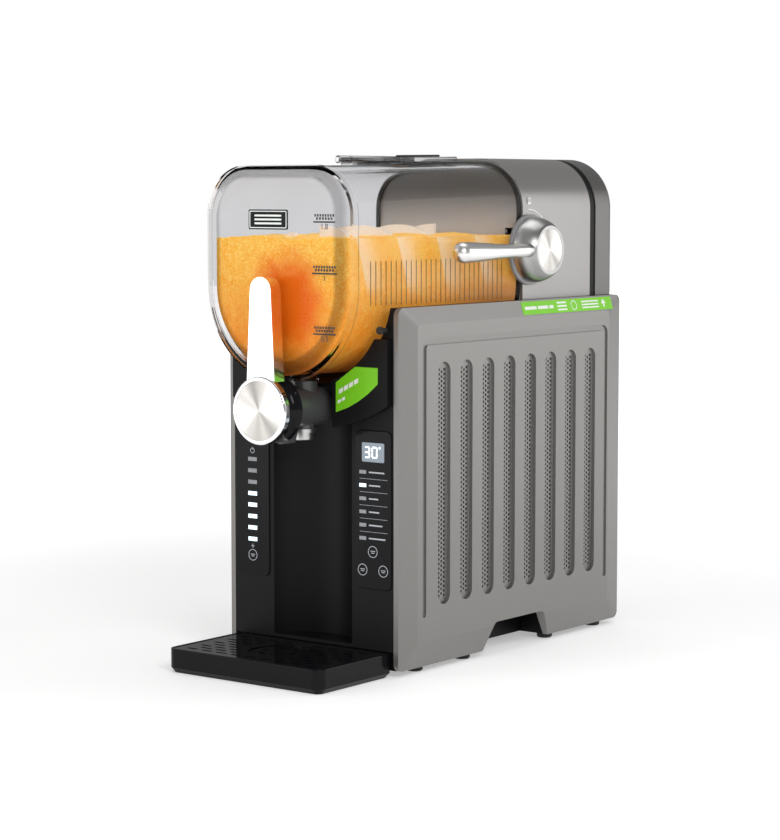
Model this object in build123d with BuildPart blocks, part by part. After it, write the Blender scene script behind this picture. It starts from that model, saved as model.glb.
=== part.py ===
from build123d import *
import math
import os

# Slushie machine. Millimetres, +Z up, -Y towards the user, +X the user's right.
# The origin is the centre of the base, on the plane of its feet.

# ---- driving dimensions ------------------------------------------------------
BASE_FRONT = -158.5
BASE_REAR = 158.5
PANEL_INNER_X = 80.5
PANEL_EDGE_X = 85.0
PANEL_FACE_X = 89.0
PANEL_BOTTOM = 5.0
PANEL_TOP = 287.0
INNER_HALF_W = 80.2
FACE_FRONT, FACE_REAR = -139.0, 136.0
FACE_BOTTOM, FACE_TOP = 25.0, 274.0
CHANNEL_W, CHANNEL_DEPTH = 4.7, 1.5
CHANNEL_FRONT, CHANNEL_REAR = -129.9, 131.0
CHANNEL_BOTTOM, CHANNEL_TOP = 47.0, 259.6
SLOT_COUNT, SLOT_PITCH, SLOT_FIRST_Y = 8, 30.0, -103.8
SLOT_W, SLOT_BOTTOM, SLOT_TOP = 16.0, 52.0, 243.5
ARCH_Y, ARCH_HALF_BOTTOM, ARCH_HALF_TOP, ARCH_TOP = 2.0, 47.7, 35.2, 27.5

AXIS_Z = 302.0              # centre of the vessel's round belly and of the trough
DRIVE_Z = 292.0             # auger, evaporator and shaft axis
VESSEL_WALL = 2.5
VESSEL_REAR = 19.4
FLANGE_FRONT, FLANGE_REAR = -198.5, -191.5
WINDOW_FRONT = -203.5
FLANGE_HALF_W = 73.0
WINDOW_HALF_W = 63.5
BODY_FRONT_HALF_W, BODY_REAR_HALF_W = 71.5, 75.3
TOP_FRONT_Z, TOP_REAR_Z = 395.4, 398.6
UPPER_CORNER_R = 39.0
SLUSH_LEVEL = 342.0
TROUGH_IN_R, TROUGH_OUT_R = 76.5, 79.0
DECK_T = 2.5

HOUSING_FRONT, HOUSING_BACK = 21.5, 123.1
BAND_BACK = 131.8
CAP_BACK = 158.5
HOUSING_HALF_W, HOUSING_TOP, HOUSING_CORNER_R = 77.0, 403.0, 42.0
SHELL_T = 2.5

EVAPORATOR_R, EVAPORATOR_FRONT = 37.0, -146.0
AUGER_IN_R, AUGER_OUT_R = 39.0, 57.0
AUGER_FRONT, AUGER_LENGTH, AUGER_PITCH = -147.0, 150.0, 50.0
SHAFT_R, BEARING_R = 6.0, 11.95
GEAR_MODULE, DRIVE_TEETH, PINION_TEETH = 1.5, 48, 12
GEAR_CENTRES = GEAR_MODULE * (DRIVE_TEETH + PINION_TEETH) / 2 + 0.3
MOTOR_Z = DRIVE_Z + GEAR_CENTRES

BAY_R, BAY_CENTRE_Y = 43.3, -175.8
TOWER_BOTTOM, TOWER_T = 20.2, 3.0
TOUCH_IN_X, TOUCH_OUT_X, TOUCH_BOTTOM, TOUCH_TOP = 44.0, 79.0, 68.0, 192.0

TAP_Z = 208.5
TAP_R, TAP_BORE_R = 16.0, 11.5
TAP_FRONT, TAP_REAR, NOZZLE_Y = -200.0, -147.5, -168.7
TAP_BORE_REAR = -159.0
DISC_FRONT, DISC_R, INLAY_R = -223.7, 26.4, 23.4
LEVER_PIN_Y, LEVER_PIN_Z = -205.5, 186.5
LEVER_TOP_Z, LEVER_TOP_W, LEVER_FOOT_W = 311.0, 20.5, 27.5
LEVER_FRONT_Y, LEVER_BACK_Y = -221.0, -209.2

LID_HALF_W, LID_FRONT, LID_REAR = 30.0, -87.5, -2.5
LID_RIM_T, LID_FLAP_T = 2.2, 3.5

LOCK_Y, LOCK_Z = 29.5, 328.0
LOCK_ARM_END_Y = -84.0

TRAY_FRONT, TRAY_REAR, TRAY_HALF_W = -245.5, -158.8, 77.0
TRAY_TOP, TRAY_T = 19.3, 2.5

FAN_Y, FAN_Z, FAN_R = 68.0, 112.0, 54.0
COMPRESSOR_Y, COMPRESSOR_R = -79.0, 46.0

os.makedirs("parts", exist_ok=True)


# ---- helpers -----------------------------------------------------------------
def keep(piece, label):
    """Label a finished piece and write it as its own STEP file."""
    piece.label = label
    export_step(piece, f"parts/{label}.step")


def at_y(y):
    """Upright plane facing the user: local x is +X, local y is +Z."""
    return Plane.XZ.offset(-y)


def at_x(x):
    """Plane facing right: local x is +Y, local y is +Z."""
    return Plane.YZ.offset(x)


def at_z(z):
    return Plane.XY.offset(z)


def drum_outline(half_w, top_z, corner_r):
    """Half-round below the vessel axis, straight sides and a round-cornered top above it."""
    with Locations((0, AXIS_Z)):
        Circle(half_w)
    with Locations((0, (AXIS_Z + top_z) / 2)):
        upper = Rectangle(2 * half_w, top_z - AXIS_Z)
    fillet(upper.vertices().group_by(Axis.Y)[-1], corner_r)


def housing_outline(inset):
    """Rear housing section, from the deck up."""
    half_w = HOUSING_HALF_W - inset
    top_z = HOUSING_TOP - inset
    with Locations((0, (PANEL_TOP + top_z) / 2)):
        box = Rectangle(2 * half_w, top_z - PANEL_TOP)
    fillet(box.vertices().group_by(Axis.Y)[-1], HOUSING_CORNER_R - inset)


def vessel_top_z(y):
    """Height of the vessel's sloping top at a given depth."""
    slope = (TOP_REAR_Z - TOP_FRONT_Z) / (VESSEL_REAR - FLANGE_REAR)
    return TOP_FRONT_Z + slope * (y - FLANGE_REAR)


def gear_points(teeth, clearance_turn):
    """Points round a straight-flanked spur gear, tooth 0 turned by clearance_turn degrees."""
    pitch_r = GEAR_MODULE * teeth / 2
    tip_r = pitch_r + 0.8 * GEAR_MODULE
    root_r = pitch_r - 1.2 * GEAR_MODULE
    step = 360 / teeth
    points = []
    for tooth in range(teeth):
        centre = tooth * step + clearance_turn
        for share, radius in ((-0.30, root_r), (-0.12, tip_r), (0.12, tip_r), (0.30, root_r)):
            angle = math.radians(centre + share * step)
            points.append((radius * math.cos(angle), radius * math.sin(angle)))
    return points


# ---- base: pan and feet ------------------------------------------------------
FEET_Y = (-122.0, -58.0, 62.0, 136.0)
FEET_X = 73.5
PAN_T, PAN_RIM_H = 2.5, 15.0
PAN_FRONT, PAN_REAR = -155.2, 154.8
RECESS_DEPTH = 26.0
with BuildPart() as base_pan:
    pan_mid_y = (PAN_FRONT + PAN_REAR) / 2
    with BuildSketch(at_z(PANEL_BOTTOM)):
        with Locations((0, pan_mid_y)):
            Rectangle(2 * INNER_HALF_W, PAN_REAR - PAN_FRONT)
    extrude(amount=PAN_RIM_H)
    with BuildSketch(at_z(PANEL_BOTTOM + PAN_T)):
        with Locations((0, pan_mid_y)):
            Rectangle(2 * (INNER_HALF_W - PAN_T), PAN_REAR - PAN_FRONT - 2 * PAN_T)
    extrude(amount=PAN_RIM_H, mode=Mode.SUBTRACT)
    recess_x = INNER_HALF_W - RECESS_DEPTH / 2
    with BuildSketch(at_z(PANEL_BOTTOM)):
        with Locations((-recess_x, ARCH_Y), (recess_x, ARCH_Y)):
            Rectangle(RECESS_DEPTH, 2 * ARCH_HALF_BOTTOM + 2 * PAN_T)
    extrude(amount=ARCH_TOP)
    with BuildSketch(at_z(PANEL_BOTTOM)):
        with Locations((-recess_x - PAN_T, ARCH_Y), (recess_x + PAN_T, ARCH_Y)):
            Rectangle(RECESS_DEPTH, 2 * ARCH_HALF_BOTTOM)
    extrude(amount=ARCH_TOP - PAN_T, mode=Mode.SUBTRACT)
    with BuildSketch(at_z(PANEL_BOTTOM)):
        with Locations([(side * FEET_X, y) for side in (-1, 1) for y in FEET_Y]):
            Circle(3.1)
    extrude(amount=PAN_T, mode=Mode.SUBTRACT)
    with BuildSketch(at_y(PAN_FRONT + PAN_T)):
        with Locations((-50, 10.5), (50, 10.5)):
            Rectangle(14, 5)
    extrude(amount=PAN_T + 1, mode=Mode.SUBTRACT)
keep(base_pan.part, "base_pan")

with BuildPart() as rubber_feet:
    feet_spots = [(side * FEET_X, y) for side in (-1, 1) for y in FEET_Y]
    with BuildSketch():
        with Locations(feet_spots):
            Circle(6.5)
    extrude(amount=PANEL_BOTTOM)
    chamfer(rubber_feet.edges().group_by(Axis.Z)[0], 1.0)
    with BuildSketch(at_z(PANEL_BOTTOM)):
        with Locations(feet_spots):
            Circle(3.0)
    extrude(amount=PAN_T)
keep(rubber_feet.part, "rubber_feet")


# ---- base: side panels and their vent meshes ---------------------------------
def round_slot(y, bottom, top, width):
    """Upright round-ended slot on a plane facing right."""
    with Locations((y, (bottom + top) / 2)):
        SlotOverall(top - bottom, width, rotation=90)


with BuildPart() as side_panel_right:
    panel_mid_z = (PANEL_BOTTOM + PANEL_TOP) / 2
    with BuildSketch(at_x(PANEL_INNER_X)):
        with Locations((0, panel_mid_z)):
            RectangleRounded(BASE_REAR - BASE_FRONT, PANEL_TOP - PANEL_BOTTOM, 6)
    extrude(amount=PANEL_EDGE_X - PANEL_INNER_X)
    with BuildSketch(at_x(PANEL_EDGE_X)):
        with Locations((0, panel_mid_z)):
            RectangleRounded(BASE_REAR - BASE_FRONT, PANEL_TOP - PANEL_BOTTOM, 6)
    with BuildSketch(at_x(PANEL_FACE_X)):
        with Locations(((FACE_FRONT + FACE_REAR) / 2, (FACE_BOTTOM + FACE_TOP) / 2)):
            RectangleRounded(FACE_REAR - FACE_FRONT, FACE_TOP - FACE_BOTTOM, 4)
    loft()
    # hollow behind the raised face
    with BuildSketch(at_x(PANEL_INNER_X)):
        with Locations(((FACE_FRONT + FACE_REAR) / 2, (FACE_BOTTOM + FACE_TOP) / 2 + 3)):
            RectangleRounded(FACE_REAR - FACE_FRONT - 4, FACE_TOP - FACE_BOTTOM - 10, 4)
    extrude(amount=PANEL_FACE_X - 2.8 - PANEL_INNER_X, mode=Mode.SUBTRACT)
    # vent slots
    with BuildSketch(at_x(PANEL_INNER_X)):
        for index in range(SLOT_COUNT):
            round_slot(SLOT_FIRST_Y + index * SLOT_PITCH, SLOT_BOTTOM, SLOT_TOP, SLOT_W)
    extrude(amount=PANEL_FACE_X - PANEL_INNER_X, mode=Mode.SUBTRACT)
    # inverted-U channel round the slots
    with BuildSketch(at_x(PANEL_FACE_X)):
        with BuildLine():
            FilletPolyline(
                (CHANNEL_FRONT, CHANNEL_BOTTOM),
                (CHANNEL_FRONT, CHANNEL_TOP),
                (CHANNEL_REAR, CHANNEL_TOP),
                (CHANNEL_REAR, CHANNEL_BOTTOM),
                radius=5,
            )
            offset(amount=CHANNEL_W / 2, side=Side.BOTH, closed=True)
        make_face()
    extrude(amount=-CHANNEL_DEPTH, mode=Mode.SUBTRACT)
    # hand recess
    with BuildSketch(at_x(PANEL_INNER_X)):
        with BuildLine():
            Polyline(
                (ARCH_Y - ARCH_HALF_BOTTOM, PANEL_BOTTOM - 1),
                (ARCH_Y - ARCH_HALF_TOP, ARCH_TOP),
                (ARCH_Y + ARCH_HALF_TOP, ARCH_TOP),
                (ARCH_Y + ARCH_HALF_BOTTOM, PANEL_BOTTOM - 1),
                close=True,
            )
        arch = make_face()
        fillet(arch.vertices().group_by(Axis.Y)[-1], 6)
    extrude(amount=PANEL_FACE_X - PANEL_INNER_X, mode=Mode.SUBTRACT)
keep(side_panel_right.part, "side_panel_right")
side_panel_left = mirror(side_panel_right.part, about=Plane.YZ)
keep(side_panel_left, "side_panel_left")

with BuildPart() as vent_mesh_right:
    with BuildSketch(at_x(PANEL_FACE_X - 3.5)):
        with Locations((SLOT_FIRST_Y + 3.5 * SLOT_PITCH, (SLOT_BOTTOM + SLOT_TOP) / 2)):
            Rectangle(8 * SLOT_PITCH - 4, SLOT_TOP - SLOT_BOTTOM + 8)
    extrude(amount=0.6)
keep(vent_mesh_right.part, "vent_mesh_right")
vent_mesh_left = mirror(vent_mesh_right.part, about=Plane.YZ)
keep(vent_mesh_left, "vent_mesh_left")


# ---- base: front tower with its cup bay --------------------------------------
with BuildPart() as front_tower:
    strip_y = BASE_FRONT + TOWER_T / 2
    with BuildSketch(at_z(TOWER_BOTTOM)):
        with Locations((0, BAY_CENTRE_Y)):
            Circle(BAY_R + TOWER_T)
        with Locations((0, BASE_FRONT - 50)):
            Rectangle(200, 100, mode=Mode.SUBTRACT)
        with Locations((0, strip_y)):
            Rectangle(2 * INNER_HALF_W, TOWER_T)
        for side in (-1, 1):
            with Locations((side * (INNER_HALF_W - TOWER_T / 2), BASE_FRONT + 6)):
                Rectangle(TOWER_T, 12)
        with Locations((0, BAY_CENTRE_Y)):
            Circle(BAY_R, mode=Mode.SUBTRACT)
    extrude(amount=PANEL_TOP - TOWER_BOTTOM)
    # floor of the bay
    with BuildSketch(at_z(TOWER_BOTTOM)):
        with Locations((0, BAY_CENTRE_Y)):
            Circle(BAY_R + TOWER_T)
        with Locations((0, BASE_FRONT - 50)):
            Rectangle(200, 100, mode=Mode.SUBTRACT)
    extrude(amount=2.5)
    # step for the deck's ledge
    with BuildSketch(at_z(PANEL_TOP - DECK_T - 0.1)):
        with Locations((0, BASE_FRONT + 33.1)):
            Rectangle(2 * INNER_HALF_W, 60)
    extrude(amount=10, mode=Mode.SUBTRACT)
    # opening that the trough and the vessel pass through
    with BuildSketch(at_y(BASE_FRONT + 40)):
        with Locations((0, AXIS_Z)):
            Circle(TROUGH_OUT_R + 0.2)
    extrude(amount=60, mode=Mode.SUBTRACT)
    with BuildSketch(at_y(BASE_FRONT + 10)):
        with Locations((-73, 270), (73, 270)):
            Circle(2.0)
    extrude(amount=20, mode=Mode.SUBTRACT)
keep(front_tower.part, "front_tower")


def touch_panel(side):
    """Gloss control insert on one wing of the tower."""
    with BuildPart() as insert:
        middle = side * (TOUCH_IN_X + TOUCH_OUT_X) / 2
        with BuildSketch(at_y(BASE_FRONT)):
            with Locations((middle, (TOUCH_BOTTOM + TOUCH_TOP) / 2)):
                RectangleRounded(TOUCH_OUT_X - TOUCH_IN_X, TOUCH_TOP - TOUCH_BOTTOM, 5)
        extrude(amount=1.2)
        fillet(insert.faces().sort_by(Axis.Y)[0].edges(), 0.6)
    return insert


LIGHT_LEFT_X, LIGHT_LEFT_TOP, LIGHT_LEFT_PITCH, LIGHT_LEFT_COUNT = -60.8, 161.9, 9.24, 8
LIGHT_RIGHT_X, LIGHT_RIGHT_TOP, LIGHT_RIGHT_PITCH, LIGHT_RIGHT_COUNT = 51.5, 159.4, 10.34, 6
DISPLAY_X, DISPLAY_Z, DISPLAY_W, DISPLAY_H = 61.6, 175.0, 21.6, 15.0
PANEL_SKIN_Y = BASE_FRONT - 1.2
control_panel_left = touch_panel(-1)
control_panel_right = touch_panel(1)
keep(control_panel_left.part, "control_panel_left")
keep(control_panel_right.part, "control_panel_right")

with BuildPart() as display_window:
    with BuildSketch(at_y(PANEL_SKIN_Y)):
        with Locations((DISPLAY_X, DISPLAY_Z)):
            RectangleRounded(DISPLAY_W, DISPLAY_H, 1.0)
    extrude(amount=0.3)
keep(display_window.part, "display_window")

with BuildPart() as indicator_lights:
    with BuildSketch(at_y(PANEL_SKIN_Y)):
        for index in range(LIGHT_LEFT_COUNT):
            with Locations((LIGHT_LEFT_X, LIGHT_LEFT_TOP - index * LIGHT_LEFT_PITCH)):
                Rectangle(9.0, 3.2)
        for index in range(LIGHT_RIGHT_COUNT):
            with Locations((LIGHT_RIGHT_X, LIGHT_RIGHT_TOP - index * LIGHT_RIGHT_PITCH)):
                Rectangle(6.5, 2.8)
    extrude(amount=0.3)
keep(indicator_lights.part, "indicator_lights")

with BuildPart() as catch_pegs:
    with BuildSketch(at_y(BASE_FRONT + 3)):
        with Locations((-73, 270), (73, 270)):
            Circle(1.95)
    extrude(amount=9)
    with BuildSketch(at_y(BASE_FRONT - 6)):
        with Locations((-73, 270), (73, 270)):
            Circle(3.0)
    extrude(amount=2.5)
keep(catch_pegs.part, "catch_pegs")

# Crescent that hangs below the vessel and catches condensation.
CATCH_LOW_R, CATCH_LOW_Z = 153.5, 344.0
CATCH_GAP_R = TROUGH_IN_R - 0.2


def catch_crescent():
    """Crescent between the vessel's round belly and a flatter lower curve."""
    with Locations((0, CATCH_LOW_Z)):
        Circle(CATCH_LOW_R)
    with Locations((0, 225)):
        Rectangle(2 * 78.0, 76.0, mode=Mode.INTERSECT)
    with Locations((0, AXIS_Z)):
        Circle(TROUGH_OUT_R + 0.4, mode=Mode.SUBTRACT)


with BuildPart() as condensation_catch:
    with BuildSketch(at_y(BASE_FRONT - 0.1)):
        with Locations((0, CATCH_LOW_Z)):
            Circle(CATCH_LOW_R)
        with Locations((0, 225)):
            Rectangle(2 * 78.0, 76.0, mode=Mode.INTERSECT)
        with Locations((0, AXIS_Z)):
            Circle(CATCH_GAP_R, mode=Mode.SUBTRACT)
        Rectangle(2 * 24.0, 1000, mode=Mode.SUBTRACT)
    extrude(amount=4.9)
    # lining inside the bay, which joins the two wings
    with BuildSketch(at_y(BASE_FRONT + 30)):
        catch_crescent()
    lining = extrude(amount=30.5, mode=Mode.PRIVATE)
    with BuildSketch(at_z(150)):
        with Locations((0, BAY_CENTRE_Y)):
            Circle(BAY_R - 0.3)
            Circle(BAY_R - 3.0, mode=Mode.SUBTRACT)
        with Locations((0, BAY_CENTRE_Y - 25)):
            Rectangle(100, 83.4, mode=Mode.SUBTRACT)
    shell = extrude(amount=120, mode=Mode.PRIVATE)
    add(lining & shell)
keep(condensation_catch.part, "condensation_catch")


# ---- base: top deck with the trough ------------------------------------------
TROUGH_FRONT = BASE_FRONT + 3.2
with BuildPart() as top_deck:
    with BuildSketch(at_y(HOUSING_FRONT - 0.1)):
        with Locations((0, AXIS_Z)):
            Circle(TROUGH_OUT_R)
        with Locations((0, PANEL_TOP + 50)):
            Rectangle(200, 100, mode=Mode.SUBTRACT)
        with Locations((0, PANEL_TOP - DECK_T / 2)):
            Rectangle(2 * INNER_HALF_W, DECK_T)
        with Locations((0, AXIS_Z)):
            Circle(TROUGH_IN_R, mode=Mode.SUBTRACT)
    extrude(amount=HOUSING_FRONT - 0.1 - TROUGH_FRONT)
    # plate under the rear housing, open in the middle for the drive
    with BuildSketch(at_z(PANEL_TOP - DECK_T)):
        with Locations((0, (HOUSING_FRONT + PAN_REAR) / 2)):
            Rectangle(2 * INNER_HALF_W, PAN_REAR - HOUSING_FRONT + 0.2)
        with Locations((0, 59)):
            Rectangle(146, 68, mode=Mode.SUBTRACT)
        with Locations((0, HOUSING_FRONT)):
            Rectangle(149, 7.4, mode=Mode.SUBTRACT)
    extrude(amount=DECK_T)
    # ribbed ledge beside the trough
    with BuildSketch(at_z(PANEL_TOP - 1.2)):
        for side in (-1, 1):
            with Locations((side * (INNER_HALF_W - 1.0), -68)):
                with GridLocations(0, 6.0, 1, 28):
                    Rectangle(2.4, 3.2)
    extrude(amount=1.2, mode=Mode.SUBTRACT)
keep(top_deck.part, "top_deck")


# ---- rear housing ------------------------------------------------------------
with BuildPart() as bulkhead:
    with BuildSketch(at_y(HOUSING_FRONT + 3.5)):
        housing_outline(SHELL_T + 0.1)
        with Locations((0, AXIS_Z)):
            Circle(TROUGH_OUT_R - 0.5)
        with Locations((0, HOUSING_TOP - 60)):
            Rectangle(2 * (HOUSING_HALF_W - SHELL_T - 0.1), 400, mode=Mode.INTERSECT)
        with Locations((0, DRIVE_Z)):
            Circle(BEARING_R + 0.05, mode=Mode.SUBTRACT)
        with Locations((HOUSING_HALF_W - 10, LOCK_Z - 6)):
            Rectangle(17, 48, mode=Mode.SUBTRACT)
    extrude(amount=3.5)
keep(bulkhead.part, "bulkhead")

KNOB_SLEEVE_R = 7.0
with BuildPart() as motor_housing:
    with BuildSketch(at_y(HOUSING_BACK)):
        housing_outline(0)
    extrude(amount=HOUSING_BACK - HOUSING_FRONT)
    with BuildSketch(at_y(HOUSING_BACK)):
        housing_outline(SHELL_T)
    extrude(amount=HOUSING_BACK - HOUSING_FRONT, mode=Mode.SUBTRACT)
    with BuildSketch(at_x(HOUSING_HALF_W - 10)):
        with Locations((LOCK_Y, LOCK_Z)):
            Circle(KNOB_SLEEVE_R)
    extrude(amount=20, mode=Mode.SUBTRACT)
keep(motor_housing.part, "motor_housing")

with BuildPart() as housing_band:
    with BuildSketch(at_y(BAND_BACK)):
        housing_outline(0.9)
    extrude(amount=BAND_BACK - HOUSING_BACK)
    with BuildSketch(at_y(BAND_BACK)):
        housing_outline(SHELL_T + 0.9)
    extrude(amount=BAND_BACK - HOUSING_BACK, mode=Mode.SUBTRACT)
keep(housing_band.part, "housing_band")

with BuildPart() as rear_cap:
    with BuildSketch(at_y(CAP_BACK)):
        housing_outline(0)
    extrude(amount=CAP_BACK - BAND_BACK)
    rear_edges = rear_cap.faces().sort_by(Axis.Y)[-1].edges().filter_by(
        lambda edge: edge.center().Z > PANEL_TOP + 1
    )
    fillet(rear_edges, 5)
    with BuildSketch(at_y(CAP_BACK - SHELL_T)):
        housing_outline(SHELL_T)
    extrude(amount=CAP_BACK - SHELL_T - BAND_BACK, mode=Mode.SUBTRACT)
keep(rear_cap.part, "rear_cap")

INLET_X, INLET_Z, INLET_W, INLET_H = -52.0, 42.0, 30.0, 24.0
REAR_SCREWS = [(side * 70, z) for side in (-1, 1) for z in (24, 110, 195, 272)]
with BuildPart() as rear_panel:
    with BuildSketch(at_y(BASE_REAR - 0.5)):
        with Locations((0, (PANEL_BOTTOM + PANEL_TOP - DECK_T) / 2)):
            Rectangle(2 * INNER_HALF_W, PANEL_TOP - DECK_T - PANEL_BOTTOM - 0.2)
        for row in range(12):
            with Locations((0, 120 + row * 10)):
                SlotOverall(96, 4, mode=Mode.SUBTRACT)
        with Locations((INLET_X, INLET_Z)):
            Rectangle(INLET_W + 0.4, INLET_H + 0.4, mode=Mode.SUBTRACT)
        with Locations(REAR_SCREWS):
            Circle(1.8, mode=Mode.SUBTRACT)
    extrude(amount=2.5)
keep(rear_panel.part, "rear_panel")

with BuildPart() as power_inlet:
    with BuildSketch(at_y(BASE_REAR - 0.5)):
        with Locations((INLET_X, INLET_Z)):
            RectangleRounded(INLET_W, INLET_H, 2)
    extrude(amount=22)
    with BuildSketch(at_y(BASE_REAR - 0.5)):
        with Locations((INLET_X, INLET_Z)):
            RectangleRounded(24.5, 17, 3)
    extrude(amount=17, mode=Mode.SUBTRACT)
    with BuildSketch(at_y(BASE_REAR - 17.5)):
        with Locations((INLET_X - 7, INLET_Z - 2), (INLET_X, INLET_Z + 2), (INLET_X + 7, INLET_Z - 2)):
            Rectangle(2, 4)
    extrude(amount=-14)
keep(power_inlet.part, "power_inlet")

with BuildPart() as rear_screws:
    with BuildSketch(at_y(BASE_REAR)):
        with Locations(REAR_SCREWS):
            Circle(3.2)
            RegularPolygon(1.3, 6, mode=Mode.SUBTRACT)
    extrude(amount=0.5)
    with BuildSketch(at_y(BASE_REAR - 0.5)):
        with Locations(REAR_SCREWS):
            Circle(1.7)
    extrude(amount=2.5)
keep(rear_screws.part, "rear_screws")


# ---- refrigeration -----------------------------------------------------------
with BuildPart() as compressor:
    with BuildSketch(at_z(14)):
        with Locations((0, COMPRESSOR_Y)):
            Circle(COMPRESSOR_R)
    extrude(amount=140)
    fillet(compressor.edges().group_by(Axis.Z)[-1], 24)
    fillet(compressor.edges().group_by(Axis.Z)[0], 14)
    with BuildSketch(at_z(10)):
        with Locations((0, COMPRESSOR_Y)):
            RectangleRounded(100, 84, 10)
    extrude(amount=5)
    with BuildSketch(at_z(PANEL_BOTTOM + PAN_T)):
        with Locations((0, COMPRESSOR_Y)):
            with GridLocations(80, 64, 2, 2):
                Circle(6)
    extrude(amount=2.5)
keep(compressor.part, "compressor")

CONDENSER_X, TUBE_R = -60.0, 3.5
CONDENSER_ROWS = [(y, z) for y in (FAN_Y - 40, FAN_Y, FAN_Y + 40) for z in (72, 112, 152)]
with BuildPart() as condenser_fins:
    for index in range(9):
        with BuildSketch(at_x(CONDENSER_X - 12 + index * 3.0)):
            with Locations((FAN_Y, FAN_Z)):
                Rectangle(112, 112)
            with Locations(CONDENSER_ROWS):
                Circle(TUBE_R + 0.05, mode=Mode.SUBTRACT)
        extrude(amount=0.8)
keep(condenser_fins.part, "condenser_fins")

with BuildPart() as condenser_tubes:
    with BuildSketch(at_x(CONDENSER_X - 16)):
        with Locations(CONDENSER_ROWS):
            Circle(TUBE_R)
    extrude(amount=32)
keep(condenser_tubes.part, "condenser_tubes")

SHROUD_X = -40.0
with BuildPart() as fan_shroud:
    with BuildSketch(at_x(SHROUD_X)):
        with Locations((FAN_Y, FAN_Z)):
            Rectangle(116, 116)
            Circle(FAN_R + 1.5, mode=Mode.SUBTRACT)
    extrude(amount=14)
    # spokes that carry the fan motor
    with BuildSketch(at_x(SHROUD_X + 16)):
        with Locations((FAN_Y, FAN_Z)):
            Rectangle(116, 8)
            Rectangle(8, 116)
            Circle(17.2, mode=Mode.SUBTRACT)
    extrude(amount=3)
    with BuildSketch(at_x(SHROUD_X + 14)):
        with Locations((FAN_Y, FAN_Z)):
            with Locations((-57, 0), (57, 0), (0, -57), (0, 57)):
                Rectangle(2, 2)
    extrude(amount=2)
keep(fan_shroud.part, "fan_shroud")

BLADE_COUNT = 7
with BuildPart() as fan_rotor:
    with BuildSketch(at_x(SHROUD_X + 1)):
        with Locations((FAN_Y, FAN_Z)):
            Circle(17)
    extrude(amount=12)
    with BuildSketch(at_x(SHROUD_X + 5)):
        with Locations((FAN_Y, FAN_Z)):
            with PolarLocations(0, BLADE_COUNT):
                with Locations((33, 0)):
                    Rectangle(36, 26)
            Circle(FAN_R, mode=Mode.INTERSECT)
    extrude(amount=2)
keep(fan_rotor.part, "fan_rotor")

with BuildPart() as fan_motor:
    with BuildSketch(at_x(SHROUD_X + 15.5)):
        with Locations((FAN_Y, FAN_Z)):
            Circle(17)
    extrude(amount=24)
    fillet(fan_motor.edges().group_by(Axis.X)[-1], 4)
keep(fan_motor.part, "fan_motor")


def pipe(points, radius, bend):
    """Bent tube along a list of corners."""
    with BuildPart() as tube:
        with BuildLine() as route:
            FilletPolyline(*points, radius=bend)
        with BuildSketch(Plane(origin=route.line @ 0, z_dir=route.line % 0)):
            Circle(radius)
        sweep()
    return tube


LINE_R, LINE_BEND_R = 3.0, 9.0
discharge_line = pipe(
    [(-30, -40.5, 60), (-30, -20, 60), (-30, -20, 190), (-56, -20, 190), (-56, 20, 190)], LINE_R, LINE_BEND_R
)
suction_line = pipe(
    [(30, -40.5, 90), (30, -5, 90), (30, -5, 210), (30, 60, 210), (30, 60, 268)], LINE_R, LINE_BEND_R
)
capillary_line = pipe([(52, 40, 122), (52, 40, 160), (52, 90, 160), (52, 90, 265)], LINE_R, LINE_BEND_R)
refrigerant_tubes = Compound(children=[discharge_line.part, suction_line.part, capillary_line.part])
keep(refrigerant_tubes, "refrigerant_tubes")

with BuildPart() as filter_dryer:
    with BuildSketch(at_z(44)):
        with Locations((52, 40)):
            Circle(10)
    extrude(amount=78)
    fillet(filter_dryer.edges().group_by(Axis.Z)[-1], 6)
    fillet(filter_dryer.edges().group_by(Axis.Z)[0], 6)
keep(filter_dryer.part, "filter_dryer")

with BuildPart() as control_board:
    with BuildSketch(at_y(BASE_FRONT + 9)):
        with Locations((62, 130)):
            Rectangle(28, 110)
    extrude(amount=1.6)
    with BuildSketch(at_y(BASE_FRONT + 7.4)):
        with Locations((56, 100), (66, 130), (60, 160)):
            Rectangle(9, 9)
    extrude(amount=1.8)
keep(control_board.part, "control_board")

with BuildPart() as evaporator:
    with BuildSketch(at_y(HOUSING_FRONT - 0.1)):
        with Locations((0, DRIVE_Z)):
            Circle(EVAPORATOR_R)
    extrude(amount=HOUSING_FRONT - 0.1 - EVAPORATOR_FRONT)
    fillet(evaporator.edges().group_by(Axis.Y)[0], 8)
    with BuildSketch(at_y(HOUSING_FRONT - 0.1)):
        with Locations((0, DRIVE_Z)):
            Circle(EVAPORATOR_R - 1.2)
    extrude(amount=HOUSING_FRONT - 0.1 - EVAPORATOR_FRONT - 9, mode=Mode.SUBTRACT)
    with BuildSketch(at_y(HOUSING_FRONT - 0.1)):
        with Locations((0, DRIVE_Z)):
            Circle(EVAPORATOR_R + 7)
            Circle(EVAPORATOR_R - 1.2, mode=Mode.SUBTRACT)
    extrude(amount=1.8)
    with BuildSketch(at_y(0)):
        with Locations((0, DRIVE_Z)):
            Circle(SHAFT_R + 0.05)
    extrude(amount=200, mode=Mode.SUBTRACT)
keep(evaporator.part, "evaporator")

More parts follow.
